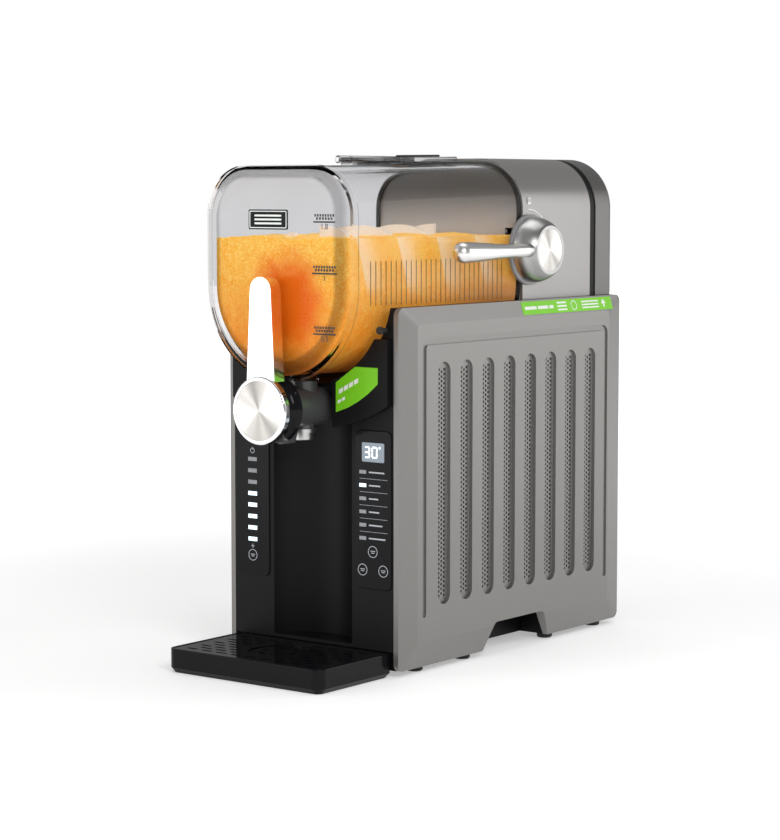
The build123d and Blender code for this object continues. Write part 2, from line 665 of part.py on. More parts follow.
COIL_TURNS, COIL_PITCH, COIL_WIRE_R, COIL_FRONT = 14, 9.0, 3.0, -125.0
with BuildPart() as evaporator_coil:
    for turn in range(COIL_TURNS):
        turn_centre = (0, COIL_FRONT + turn * COIL_PITCH, DRIVE_Z)
        with BuildSketch(Plane(origin=turn_centre, x_dir=(0, 1, 0), z_dir=(1, 0, 0))):
            with Locations((0, EVAPORATOR_R - 1.4 - COIL_WIRE_R)):
                Circle(COIL_WIRE_R)
        revolve(axis=Axis((0, 0, DRIVE_Z), (0, 1, 0)))
    header = EVAPORATOR_R - 1.4 - 2 * COIL_WIRE_R - 2.0
    with BuildSketch(at_y(17)):
        with Locations((header, DRIVE_Z), (-header, DRIVE_Z)):
            Circle(2.4)
    extrude(amount=145)
keep(evaporator_coil.part, "evaporator_coil")


# ---- drive: shaft, gears and motor -------------------------------------------
GEAR_BACK, GEAR_W = 42.0, 10.0
PLATE_FRONT, PLATE_T = 46.0, 3.0
with BuildPart() as drive_shaft:
    with BuildSketch(at_y(PLATE_FRONT + PLATE_T + 3)):
        with Locations((0, DRIVE_Z)):
            Circle(SHAFT_R)
    extrude(amount=PLATE_FRONT + PLATE_T + 3 - AUGER_FRONT)
    with BuildSketch(at_y(AUGER_FRONT)):
        with Locations((0, DRIVE_Z)):
            RegularPolygon(SHAFT_R - 0.3, 6)
    extrude(amount=12)
keep(drive_shaft.part, "drive_shaft")

with BuildPart() as shaft_bearing:
    with BuildSketch(at_y(HOUSING_FRONT + 4.5)):
        with Locations((0, DRIVE_Z)):
            Circle(BEARING_R)
            Circle(SHAFT_R + 0.05, mode=Mode.SUBTRACT)
    extrude(amount=6)
    with BuildSketch(at_y(HOUSING_FRONT + 7)):
        with Locations((0, DRIVE_Z)):
            Circle(16)
            Circle(SHAFT_R + 0.05, mode=Mode.SUBTRACT)
    extrude(amount=3.5)
keep(shaft_bearing.part, "shaft_bearing")

with BuildPart() as drive_gear:
    with BuildSketch(Plane(origin=(0, GEAR_BACK, DRIVE_Z), x_dir=(1, 0, 0), z_dir=(0, -1, 0))):
        with BuildLine():
            Polyline(*gear_points(DRIVE_TEETH, 0), close=True)
        make_face()
        with PolarLocations(22, 6):
            Circle(6, mode=Mode.SUBTRACT)
        Circle(SHAFT_R, mode=Mode.SUBTRACT)
    extrude(amount=GEAR_W)
keep(drive_gear.part, "drive_gear")

PINION_SHAFT_R = 4.0
with BuildPart() as motor_pinion:
    with BuildSketch(Plane(origin=(0, GEAR_BACK, MOTOR_Z), x_dir=(1, 0, 0), z_dir=(0, -1, 0))):
        with BuildLine():
            Polyline(*gear_points(PINION_TEETH, 15), close=True)
        make_face()
    extrude(amount=GEAR_W)
    with BuildSketch(at_y(PLATE_FRONT + PLATE_T + 6)):
        with Locations((0, MOTOR_Z)):
            Circle(PINION_SHAFT_R)
    extrude(amount=PLATE_FRONT + PLATE_T + 6 - GEAR_BACK)
keep(motor_pinion.part, "motor_pinion")

with BuildPart() as gear_plate:
    with BuildSketch(at_y(PLATE_FRONT + PLATE_T)):
        with Locations((0, (DRIVE_Z + MOTOR_Z) / 2)):
            RectangleRounded(120, 100, 8)
        with Locations((0, DRIVE_Z)):
            Circle(SHAFT_R + 0.05, mode=Mode.SUBTRACT)
        with Locations((0, MOTOR_Z)):
            Circle(PINION_SHAFT_R + 0.05, mode=Mode.SUBTRACT)
    extrude(amount=PLATE_T)
    with BuildSketch(at_y(PLATE_FRONT)):
        with Locations((0, (DRIVE_Z + MOTOR_Z) / 2)):
            with GridLocations(106, 84, 2, 2):
                Circle(4.5)
    extrude(amount=PLATE_FRONT - HOUSING_FRONT - 3.5)
keep(gear_plate.part, "gear_plate")

with BuildPart() as gear_motor:
    with BuildSketch(at_y(PLATE_FRONT + PLATE_T + 62)):
        with Locations((0, MOTOR_Z)):
            Circle(26)
    extrude(amount=62)
    fillet(gear_motor.edges().group_by(Axis.Y)[-1], 4)
    with BuildSketch(at_y(PLATE_FRONT + PLATE_T + 7)):
        with Locations((0, MOTOR_Z)):
            Circle(PINION_SHAFT_R + 0.1)
    extrude(amount=7, mode=Mode.SUBTRACT)
keep(gear_motor.part, "gear_motor")

with BuildPart() as auger:
    # spiral blade
    blade_r = (AUGER_IN_R + AUGER_OUT_R) / 2
    with BuildLine() as spiral:
        Helix(AUGER_PITCH, AUGER_LENGTH, blade_r, center=(0, AUGER_FRONT, DRIVE_Z), direction=(0, 1, 0))
    start = spiral.line @ 0
    outward = start - Vector(0, AUGER_FRONT, DRIVE_Z)
    with BuildSketch(Plane(origin=start, x_dir=outward, z_dir=spiral.line % 0)):
        Rectangle(AUGER_OUT_R - AUGER_IN_R, 4)
    sweep(is_frenet=True)
    # nose and the arms that carry the blade
    with BuildSketch(at_y(AUGER_FRONT - 2)):
        with Locations((0, DRIVE_Z)):
            Circle(22)
    extrude(amount=12)
    fillet(auger.faces().sort_by(Axis.Y)[0].edges(), 5)
    with BuildSketch(at_y(AUGER_FRONT - 2)):
        with Locations((0, DRIVE_Z)):
            with PolarLocations(0, 3):
                with Locations((AUGER_OUT_R / 2, 0)):
                    Rectangle(AUGER_OUT_R, 12)
            Circle(AUGER_OUT_R, mode=Mode.INTERSECT)
    extrude(amount=6)
    with BuildSketch(at_y(AUGER_FRONT + AUGER_LENGTH)):
        with Locations((0, DRIVE_Z)):
            with PolarLocations(0, 3):
                with Locations((AUGER_IN_R + 3, 0)):
                    Rectangle(5, 9)
    extrude(amount=AUGER_LENGTH + 3)
    with BuildSketch(at_y(AUGER_FRONT)):
        with Locations((0, DRIVE_Z)):
            RegularPolygon(SHAFT_R - 0.2, 6)
            Circle(SHAFT_R + 0.1)
    extrude(amount=12.1, mode=Mode.SUBTRACT)
keep(auger.part, "auger")


# ---- vessel, its lid and its contents ----------------------------------------
def drum_loft(front_y, front_half_w, front_top, rear_y, rear_half_w, rear_top, inset, corner_r):
    """Drum-shaped solid between two upright sections, drawn in by inset all round."""
    with BuildSketch(at_y(front_y)) as front_section:
        drum_outline(front_half_w - inset, front_top - inset, corner_r - inset)
    with BuildSketch(at_y(rear_y)) as rear_section:
        drum_outline(rear_half_w - inset, rear_top - inset, corner_r - inset)
    loft(sections=[front_section.sketch, rear_section.sketch])


SPOUT_BOTTOM = 228.8
SPOUT_R, OUTLET_R = 12.0, 8.5
LID_HOLE_FRONT, LID_HOLE_REAR, LID_HOLE_HALF_W = -80.0, -10.0, 24.0
with BuildPart() as cavity:
    drum_loft(
        WINDOW_FRONT + VESSEL_WALL, WINDOW_HALF_W, AXIS_Z + WINDOW_HALF_W + 25, FLANGE_FRONT + VESSEL_WALL,
        BODY_FRONT_HALF_W - 1, TOP_FRONT_Z - 1, VESSEL_WALL, UPPER_CORNER_R - 3,
    )
    drum_loft(
        FLANGE_FRONT + VESSEL_WALL, BODY_FRONT_HALF_W - 1, TOP_FRONT_Z - 1, VESSEL_REAR,
        BODY_REAR_HALF_W, TOP_REAR_Z, VESSEL_WALL, UPPER_CORNER_R - 3,
    )
with BuildPart() as vessel:
    drum_loft(
        WINDOW_FRONT, WINDOW_HALF_W, AXIS_Z + WINDOW_HALF_W + 25, FLANGE_FRONT,
        BODY_FRONT_HALF_W, TOP_FRONT_Z - 1, 0, UPPER_CORNER_R - 3,
    )
    with BuildSketch(at_y(FLANGE_REAR)):
        drum_outline(FLANGE_HALF_W, TOP_FRONT_Z + 0.8, UPPER_CORNER_R)
    extrude(amount=FLANGE_REAR - FLANGE_FRONT)
    drum_loft(
        FLANGE_REAR, BODY_FRONT_HALF_W, TOP_FRONT_Z, VESSEL_REAR,
        BODY_REAR_HALF_W, TOP_REAR_Z, 0, UPPER_CORNER_R - 2,
    )
    with BuildSketch(at_z(SPOUT_BOTTOM)):
        with Locations((0, NOZZLE_Y)):
            Circle(SPOUT_R)
    extrude(amount=6)
    add(cavity.part, mode=Mode.SUBTRACT)
    with BuildSketch(at_z(SPOUT_BOTTOM)):
        with Locations((0, NOZZLE_Y)):
            Circle(OUTLET_R)
    extrude(amount=8, mode=Mode.SUBTRACT)
    with BuildSketch(at_z(TOP_FRONT_Z - 10)):
        with Locations((0, (LID_HOLE_FRONT + LID_HOLE_REAR) / 2)):
            RectangleRounded(2 * LID_HOLE_HALF_W, LID_HOLE_REAR - LID_HOLE_FRONT, 8)
    extrude(amount=20, mode=Mode.SUBTRACT)
keep(vessel.part, "vessel")

with BuildPart() as vessel_gasket:
    with BuildSketch(at_y(HOUSING_FRONT)):
        drum_outline(BODY_REAR_HALF_W - 0.3, TOP_REAR_Z - 0.3, UPPER_CORNER_R - 2)
        with Locations((0, DRIVE_Z)):
            Circle(EVAPORATOR_R + 7.2, mode=Mode.SUBTRACT)
    extrude(amount=2.0)
    with BuildSketch(at_y(HOUSING_FRONT)):
        drum_outline(BODY_REAR_HALF_W - 4.0, TOP_REAR_Z - 4.0, UPPER_CORNER_R - 6)
    extrude(amount=2.0, mode=Mode.SUBTRACT)
keep(vessel_gasket.part, "vessel_gasket")

SWEEP_CLEAR = 1.0
with BuildPart() as slush_fill:
    drum_loft(
        WINDOW_FRONT + VESSEL_WALL, WINDOW_HALF_W, AXIS_Z + WINDOW_HALF_W + 25, FLANGE_FRONT + VESSEL_WALL,
        BODY_FRONT_HALF_W - 1, TOP_FRONT_Z - 1, VESSEL_WALL + 0.3, UPPER_CORNER_R - 3,
    )
    drum_loft(
        FLANGE_FRONT + VESSEL_WALL, BODY_FRONT_HALF_W - 1, TOP_FRONT_Z - 1, VESSEL_REAR - 2,
        BODY_REAR_HALF_W, TOP_REAR_Z, VESSEL_WALL + 0.3, UPPER_CORNER_R - 3,
    )
    with BuildSketch(at_z(SLUSH_LEVEL)):
        Rectangle(400, 600)
    extrude(amount=100, mode=Mode.SUBTRACT)
    with BuildSketch(at_y(VESSEL_REAR + 5)):
        with Locations((0, DRIVE_Z)):
            Circle(AUGER_OUT_R + SWEEP_CLEAR)
    extrude(amount=VESSEL_REAR + 5 - AUGER_FRONT + 20, mode=Mode.SUBTRACT)
keep(slush_fill.part, "slush_fill")

TOP_TILT = math.degrees(math.atan2(TOP_REAR_Z - TOP_FRONT_Z, VESSEL_REAR - FLANGE_REAR))


def on_lid(y, rise):
    """Plane that lies rise above the vessel's sloping top, its origin at the given depth."""
    slope = math.radians(TOP_TILT)
    up = Vector(0, -math.sin(slope), math.cos(slope))
    return Plane(origin=Vector(0, y, vessel_top_z(y)) + up * rise, x_dir=(1, 0, 0), z_dir=up)


LID_MID = (LID_FRONT + LID_REAR) / 2
LID_LENGTH = LID_REAR - LID_FRONT
HINGE_X, HINGE_Z = -LID_HALF_W - 0.5, vessel_top_z(LID_MID) + 4.1
KNUCKLE_R, LID_PIN_R = 3.2, 1.8
# the rim carries a knuckle at each end, and the flap one between them
END_KNUCKLE = 16.0
KNUCKLE_GAP = 0.4
FLAP_KNUCKLE_FRONT = LID_FRONT + 0.5 + END_KNUCKLE + KNUCKLE_GAP
FLAP_KNUCKLE_REAR = LID_REAR - 0.5 - END_KNUCKLE - KNUCKLE_GAP


def hinge_barrel(front, rear, radius, mode=Mode.ADD):
    """Round bar along the lid's hinge line between two depths."""
    with BuildSketch(at_y(rear)) as section:
        with Locations((HINGE_X, HINGE_Z)):
            Circle(radius)
    extrude(section.sketch, amount=rear - front, mode=mode)


def hinge_relief(front, rear):
    """Room beside the hinge line for a knuckle of the other piece."""
    with BuildSketch(at_z(HINGE_Z - 12)) as room:
        with Locations((HINGE_X, (front + rear) / 2)):
            Rectangle(2 * (KNUCKLE_R + KNUCKLE_GAP), rear - front)
    extrude(room.sketch, amount=24, mode=Mode.SUBTRACT)


with BuildPart() as lid_base:
    with BuildSketch(on_lid(LID_MID, 0.05)):
        RectangleRounded(2 * LID_HALF_W, LID_LENGTH, 6)
        RectangleRounded(2 * LID_HOLE_HALF_W, LID_HOLE_REAR - LID_HOLE_FRONT, 8, mode=Mode.SUBTRACT)
    extrude(amount=LID_RIM_T)
    hinge_relief(FLAP_KNUCKLE_FRONT - KNUCKLE_GAP, FLAP_KNUCKLE_REAR + KNUCKLE_GAP)
    hinge_barrel(LID_FRONT + 0.5, LID_FRONT + 0.5 + END_KNUCKLE, KNUCKLE_R)
    hinge_barrel(LID_REAR - 0.5 - END_KNUCKLE, LID_REAR - 0.5, KNUCKLE_R)
    hinge_barrel(LID_FRONT, LID_REAR, LID_PIN_R + 0.03, Mode.SUBTRACT)
keep(lid_base.part, "lid_base")

with BuildPart() as lid_pin:
    hinge_barrel(LID_FRONT - 0.5, LID_REAR + 0.5, LID_PIN_R)
keep(lid_pin.part, "lid_pin")

LATCH_X, LATCH_W, LATCH_LENGTH, LATCH_DROP = 17.0, 9.0, 34.0, 5.5
with BuildPart() as lid_flap:
    with BuildSketch(on_lid(LID_MID, LID_RIM_T + 0.3)):
        RectangleRounded(2 * LID_HALF_W, LID_LENGTH, 5)
    extrude(amount=LID_FLAP_T)
    fillet(lid_flap.faces().sort_by(Axis.Z)[-1].edges(), 0.9)
    hinge_relief(LID_FRONT - 1, FLAP_KNUCKLE_FRONT)
    hinge_relief(FLAP_KNUCKLE_REAR, LID_REAR + 1)
    hinge_barrel(FLAP_KNUCKLE_FRONT, FLAP_KNUCKLE_REAR, KNUCKLE_R)
    hinge_barrel(FLAP_KNUCKLE_FRONT - 1, FLAP_KNUCKLE_REAR + 1, LID_PIN_R + 0.05, Mode.SUBTRACT)
    # plug that sits in the filling hole
    with BuildSketch(on_lid((LID_HOLE_FRONT + LID_HOLE_REAR) / 2, LID_RIM_T + 0.4)):
        RectangleRounded(2 * LID_HOLE_HALF_W - 6, LID_HOLE_REAR - LID_HOLE_FRONT - 6, 6)
        RectangleRounded(2 * LID_HOLE_HALF_W - 10, LID_HOLE_REAR - LID_HOLE_FRONT - 10, 4, mode=Mode.SUBTRACT)
    extrude(amount=-5.0)
    # latch block under the grip
    with BuildSketch(on_lid(LID_MID, LID_RIM_T + 0.4)):
        with Locations((LATCH_X, 0)):
            RectangleRounded(LATCH_W, LATCH_LENGTH, 2)
    extrude(amount=-LATCH_DROP - LID_RIM_T)
keep(lid_flap.part, "lid_flap")

with BuildPart() as lid_grip:
    with BuildSketch(on_lid(LID_MID, LID_RIM_T + 0.35 + LID_FLAP_T)):
        with Locations((LATCH_X + 2, 0)):
            RectangleRounded(17, 42, 4)
    extrude(amount=1.7)
    fillet(lid_grip.faces().sort_by(Axis.Z)[-1].edges(), 0.7)
keep(lid_grip.part, "lid_grip")


# ---- dispensing tap ----------------------------------------------------------
with BuildPart() as tap_body:
    with BuildSketch(at_y(TAP_REAR)):
        with Locations((0, TAP_Z)):
            Circle(TAP_R)
    extrude(amount=TAP_REAR - TAP_FRONT)
    fillet(tap_body.faces().sort_by(Axis.Y)[-1].edges(), 6.5)
    # room under the trough
    with BuildSketch(at_y(TAP_REAR + 5)):
        with Locations((0, AXIS_Z)):
            Circle(TROUGH_OUT_R + 0.4)
    extrude(amount=TAP_REAR + 5 - TROUGH_FRONT + 0.6, mode=Mode.SUBTRACT)
    # neck that meets the vessel's spout
    with BuildSketch(at_z(TAP_Z + 8)):
        with Locations((0, NOZZLE_Y)):
            Circle(11)
    extrude(amount=SPOUT_BOTTOM - 0.1 - TAP_Z - 8)
    # nozzle seat
    with BuildSketch(at_z(TAP_Z - TAP_R - 1.5)):
        with Locations((0, NOZZLE_Y)):
            Circle(8)
    extrude(amount=8)
    # ears that hold the lever's pin
    with BuildSketch(at_x(-12)):
        with BuildLine():
            Polyline(
                (LEVER_PIN_Y - 4, LEVER_PIN_Z - 4), (LEVER_PIN_Y - 4, LEVER_PIN_Z + 4),
                (TAP_FRONT, TAP_Z - 8), (TAP_FRONT + 14, TAP_Z - 8), (TAP_FRONT + 6, LEVER_PIN_Z - 4), close=True,
            )
        make_face()
        with Locations((LEVER_PIN_Y, LEVER_PIN_Z)):
            Circle(2.0, mode=Mode.SUBTRACT)
    extrude(amount=24)
    with BuildSketch(at_x(-7.5)):
        with Locations((LEVER_PIN_Y, LEVER_PIN_Z), (TAP_FRONT - 2, TAP_Z - 13)):
            Rectangle(13, 22)
    extrude(amount=15, mode=Mode.SUBTRACT)
    # bore for the plunger, and the way through it
    with BuildSketch(at_y(TAP_BORE_REAR)):
        with Locations((0, TAP_Z)):
            Circle(TAP_BORE_R)
    extrude(amount=TAP_BORE_REAR - TAP_FRONT - 3, mode=Mode.SUBTRACT)
    with BuildSketch(at_y(TAP_FRONT + 5)):
        with Locations((0, TAP_Z)):
            Circle(3.05)
    extrude(amount=10, mode=Mode.SUBTRACT)
    with BuildSketch(at_z(TAP_Z)):
        with Locations((0, NOZZLE_Y)):
            Circle(OUTLET_R - 2.5)
    extrude(amount=40, both=True, mode=Mode.SUBTRACT)
keep(tap_body.part, "tap_body")

NOZZLE_TIP, NOZZLE_R = 182.0, 7.6
with BuildPart() as tap_nozzle:
    with BuildSketch(at_z(NOZZLE_TIP)):
        with Locations((0, NOZZLE_Y)):
            Circle(NOZZLE_R)
    extrude(amount=TAP_Z - TAP_R - 1.6 - NOZZLE_TIP)
    chamfer(tap_nozzle.edges().group_by(Axis.Z)[0], 0.6)
    with BuildSketch(at_z(NOZZLE_TIP + 6.0)):
        with Locations((0, NOZZLE_Y)):
            Circle(NOZZLE_R + 1.5)
    extrude(amount=TAP_Z - TAP_R - 1.6 - NOZZLE_TIP - 6.0)
    with BuildSketch(at_z(NOZZLE_TIP)):
        with Locations((0, NOZZLE_Y)):
            Circle(4.6)
    extrude(amount=20, mode=Mode.SUBTRACT)
keep(tap_nozzle.part, "tap_nozzle")

PLUNGER_FRONT, PLUNGER_REAR = -177.0, -160.5
with BuildPart() as tap_plunger:
    with BuildSketch(at_y(PLUNGER_REAR)):
        with Locations((0, TAP_Z)):
            Circle(TAP_BORE_R - 0.05)
    extrude(amount=PLUNGER_REAR - PLUNGER_FRONT)
    with BuildSketch(at_y(PLUNGER_FRONT)):
        with Locations((0, TAP_Z)):
            Circle(3.0)
    extrude(amount=PLUNGER_FRONT - TAP_FRONT + 9)
keep(tap_plunger.part, "tap_plunger")

SPRING_TURNS, SPRING_PITCH, SPRING_R, SPRING_FRONT = 6, 3.1, 7.5, -194.5
with BuildPart() as tap_spring:
    for turn in range(SPRING_TURNS):
        turn_centre = (0, SPRING_FRONT + turn * SPRING_PITCH, TAP_Z)
        with BuildSketch(Plane(origin=turn_centre, x_dir=(0, 1, 0), z_dir=(1, 0, 0))):
            with Locations((0, SPRING_R)):
                Circle(0.9)
        revolve(axis=Axis((0, 0, TAP_Z), (0, 1, 0)))
    with BuildSketch(at_y(SPRING_FRONT + 17.0)):
        with Locations((0, TAP_Z + SPRING_R)):
            Circle(0.5)
    extrude(amount=17.5)
keep(tap_spring.part, "tap_spring")

with BuildPart() as tap_pin:
    with BuildSketch(at_x(-12.5)):
        with Locations((LEVER_PIN_Y, LEVER_PIN_Z)):
            Circle(1.95)
    extrude(amount=25)
keep(tap_pin.part, "tap_pin")

RING_BACK = -218.0
DRUM_FLARE_Y, DRUM_BACK = -206.0, -202.6
with BuildPart() as tap_drum:
    # waisted black drum behind the disc
    with BuildSketch(Plane(origin=(0, 0, TAP_Z), x_dir=(0, 1, 0), z_dir=(1, 0, 0))):
        with BuildLine():
            Line((RING_BACK + 0.1, 0), (RING_BACK + 0.1, 23.0))
            ThreePointArc((RING_BACK + 0.1, 23.0), (-210.0, 21.5), (DRUM_FLARE_Y, 25.5))
            Line((DRUM_FLARE_Y, 25.5), (DRUM_BACK, 26.5))
            Line((DRUM_BACK, 26.5), (DRUM_BACK, 0))
            Line((DRUM_BACK, 0), (RING_BACK + 0.1, 0))
        make_face()
    revolve(axis=Axis((0, 0, TAP_Z), (0, 1, 0)))
    # black web up the back of the lever
    with BuildSketch(at_y(LEVER_BACK_Y + 3.2)):
        with BuildLine():
            Polyline((-9, TAP_Z), (9, TAP_Z), (7, 272), (-7, 272), close=True)
        make_face()
    extrude(amount=3.0)
    # slot for the plunger rod and room for the pin's ears
    with BuildSketch(at_y(DRUM_BACK)):
        with Locations((0, TAP_Z)):
            Rectangle(9, 30)
        with Locations((0, TAP_Z - 18)):
            Rectangle(26, 22)
    extrude(amount=10.5, mode=Mode.SUBTRACT)
    with BuildSketch(at_x(-7.3)):
        with Locations((LEVER_PIN_Y, LEVER_PIN_Z)):
            Circle(3.8)
        with Locations((LEVER_PIN_Y - 4, LEVER_PIN_Z + 1)):
            Rectangle(8, 5.6)
        with Locations((LEVER_PIN_Y, LEVER_PIN_Z)):
            Circle(2.0, mode=Mode.SUBTRACT)
    extrude(amount=14.6)
keep(tap_drum.part, "tap_drum")

with BuildPart() as tap_lever:
    with BuildSketch(at_y(RING_BACK)):
        with Locations((0, TAP_Z)):
            Circle(DISC_R)
    extrude(amount=RING_BACK - DISC_FRONT)
    fillet(tap_lever.faces().sort_by(Axis.Y)[0].edges(), 1.6)
    with BuildSketch(at_y(DISC_FRONT + 1.2)):
        with Locations((0, TAP_Z)):
            Circle(INLAY_R)
    extrude(amount=1.3, mode=Mode.SUBTRACT)
    # tapered lever with a round top
    with BuildSketch(at_y(LEVER_BACK_Y)):
        with BuildLine():
            top_r = LEVER_TOP_W / 2
            Polyline(
                (top_r, LEVER_TOP_Z - top_r), (LEVER_FOOT_W / 2, TAP_Z + DISC_R - 4),
                (-LEVER_FOOT_W / 2, TAP_Z + DISC_R - 4), (-top_r, LEVER_TOP_Z - top_r),
            )
            ThreePointArc((-top_r, LEVER_TOP_Z - top_r), (0, LEVER_TOP_Z), (top_r, LEVER_TOP_Z - top_r))
        make_face()
    extrude(amount=LEVER_BACK_Y - LEVER_FRONT_Y)
    with BuildSketch(at_y(LEVER_BACK_Y)):
        with Locations((0, TAP_Z)):
            Circle(DISC_R)
    extrude(amount=LEVER_BACK_Y - RING_BACK, mode=Mode.SUBTRACT)
keep(tap_lever.part, "tap_lever")

with BuildPart() as tap_disc:
    with BuildSketch(at_y(DISC_FRONT + 1.2)):
        with Locations((0, TAP_Z)):
            Circle(INLAY_R - 0.1)
    extrude(amount=0.9)
keep(tap_disc.part, "tap_disc")


# ---- vessel lock -------------------------------------------------------------
LOCK_RING_R, LOCK_RING_OUT = 29.0, 80.2
KNOB_BACK, KNOB_FACE = 80.4, 99.0
KNOB_ARM_X, ARM_TIP_R = 92.0, 8.2
with BuildPart() as lock_ring:
    with BuildSketch(at_x(HOUSING_HALF_W + 0.1)):
        with Locations((LOCK_Y, LOCK_Z)):
            Circle(LOCK_RING_R)
            Circle(6.05, mode=Mode.SUBTRACT)
    extrude(amount=LOCK_RING_OUT - HOUSING_HALF_W - 0.1)
    fillet(lock_ring.faces().sort_by(Axis.X)[-1].edges().sort_by(Edge.length)[-1], 1.2)
keep(lock_ring.part, "lock_ring")

with BuildPart() as lock_knob:
    with BuildSketch(Plane(origin=(0, LOCK_Y, LOCK_Z), x_dir=(1, 0, 0), z_dir=(0, 0, 1))):
        with BuildLine():
            Line((KNOB_BACK, 0), (KNOB_BACK, 27.0))
            Line((KNOB_BACK, 27.0), (KNOB_BACK + 3, 27.0))
            ThreePointArc((KNOB_BACK + 3, 27.0), (91.0, 25.2), (KNOB_FACE - 1.5, 21.5))
            Line((KNOB_FACE - 1.5, 21.5), (KNOB_FACE, 20.0))
            Line((KNOB_FACE, 20.0), (KNOB_FACE, 0))
            Line((KNOB_FACE, 0), (KNOB_BACK, 0))
        make_face()
    revolve(axis=Axis((0, LOCK_Y, LOCK_Z), (1, 0, 0)))
    # arm: tapers to a slim neck, ends in a rounded tip
    arm_length = LOCK_Y - LOCK_ARM_END_Y
    with BuildSketch(Plane(origin=(KNOB_ARM_X, LOCK_Y, LOCK_Z), x_dir=(0, -1, 0), z_dir=(1, 0, 0))):
        with BuildLine():
            Line((8, 0), (8, 7.0))
            Spline((8, 7.0), (34, 5.4), (70, 6.4), (arm_length, ARM_TIP_R), tangents=((1, -0.1), (1, 0)))
            Line((arm_length, ARM_TIP_R), (arm_length, 0))
            Line((arm_length, 0), (8, 0))
        make_face()
    revolve(axis=Axis((KNOB_ARM_X, LOCK_Y, LOCK_Z), (0, 1, 0)))
    with Locations((KNOB_ARM_X, LOCK_ARM_END_Y, LOCK_Z)):
        Sphere(ARM_TIP_R)
    with BuildSketch(at_x(KNOB_FACE - 1.0)):
        with Locations((LOCK_Y, LOCK_Z)):
            Circle(17.6)
    extrude(amount=12, mode=Mode.SUBTRACT)
    with BuildSketch(at_x(KNOB_BACK)):
        with Locations((LOCK_Y, LOCK_Z)):
            Rectangle(8.2, 8.2)
    extrude(amount=8, mode=Mode.SUBTRACT)
keep(lock_knob.part, "lock_knob")

with BuildPart() as lock_disc:
    with BuildSketch(at_x(KNOB_FACE - 1.0)):
        with Locations((LOCK_Y, LOCK_Z)):
            Circle(17.5)
    extrude(amount=0.8)
keep(lock_disc.part, "lock_disc")

with BuildPart() as lock_shaft:
    with BuildSketch(at_x(62)):
        with Locations((LOCK_Y, LOCK_Z)):
            Circle(6.0)
    extrude(amount=KNOB_BACK - 0.2 - 62)
    with BuildSketch(at_x(KNOB_BACK - 0.2)):
        with Locations((LOCK_Y, LOCK_Z)):
            Rectangle(8.0, 8.0)
    extrude(amount=7)
    # off-centre cam inside the housing
    with BuildSketch(at_x(62)):
        with Locations((LOCK_Y + 6.0, LOCK_Z)):
            Circle(9.5)
    extrude(amount=4)
keep(lock_shaft.part, "lock_shaft")


# ---- drip tray ---------------------------------------------------------------
GRILLE_T = 3.0
TRAY_LENGTH = TRAY_REAR - TRAY_FRONT
TRAY_MID_Y = (TRAY_FRONT + TRAY_REAR) / 2


def tray_plan(inset):
    """Tray outline with round front corners."""
    with Locations((0, TRAY_MID_Y)):
        plan = Rectangle(2 * (TRAY_HALF_W - inset), TRAY_LENGTH - 2 * inset)
    fillet(plan.vertices().group_by(Axis.Y)[0], 8 - inset)


with BuildPart() as drip_tray:
    with BuildSketch():
        tray_plan(3.0)
    with BuildSketch(at_z(4.0)):
        tray_plan(0)
    loft()
    with BuildSketch(at_z(4.0)):
        tray_plan(0)
    extrude(amount=TRAY_TOP - 4.0)
    fillet(drip_tray.faces().sort_by(Axis.Z)[-1].edges().sort_by(Axis.Y)[:-1], 0.8)
    with BuildSketch(at_z(TRAY_T + 1)):
        tray_plan(6.0)
    extrude(amount=TRAY_TOP, mode=Mode.SUBTRACT)
    with BuildSketch(at_z(TRAY_TOP - GRILLE_T - 0.4)):
        tray_plan(TRAY_T)
    extrude(amount=10, mode=Mode.SUBTRACT)
    with BuildSketch(at_y(TRAY_REAR + 8)):
        with Locations((-50, 10.5), (50, 10.5)):
            Rectangle(12, 3)
    extrude(amount=8.5)
keep(drip_tray.part, "drip_tray")

GRILLE_RING_Y, GRILLE_RING_R = -200.0, 24.0
with BuildPart() as drip_grille:
    with BuildSketch(at_z(TRAY_TOP - GRILLE_T - 0.4)):
        tray_plan(TRAY_T + 0.3)
    extrude(amount=GRILLE_T)
    with BuildSketch(at_z(TRAY_TOP)):
        for row in range(9):
            shift = 7.5 if row % 2 else 0.0
            for column in range(-4, 5):
                slot_x = column * 15.0 + shift
                slot_y = TRAY_MID_Y - 32 + row * 8.0
                near_ring = math.hypot(slot_x, slot_y - GRILLE_RING_Y) < GRILLE_RING_R + 8
                if abs(slot_x) < 63 and not near_ring:
                    with Locations((slot_x, slot_y)):
                        SlotOverall(11.0, 3.0)
        with Locations((0, GRILLE_RING_Y)):
            with PolarLocations(14, 6):
                SlotOverall(9.0, 3.0, rotation=90)
    extrude(amount=-10, mode=Mode.SUBTRACT)
    with BuildSketch(at_z(TRAY_TOP - 0.4)):
        with Locations((0, GRILLE_RING_Y)):
            Circle(GRILLE_RING_R)
    extrude(amount=-0.8, mode=Mode.SUBTRACT)
keep(drip_grille.part, "drip_grille")
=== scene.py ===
import math

import bmesh
import bpy
from mathutils import Matrix, Vector, noise


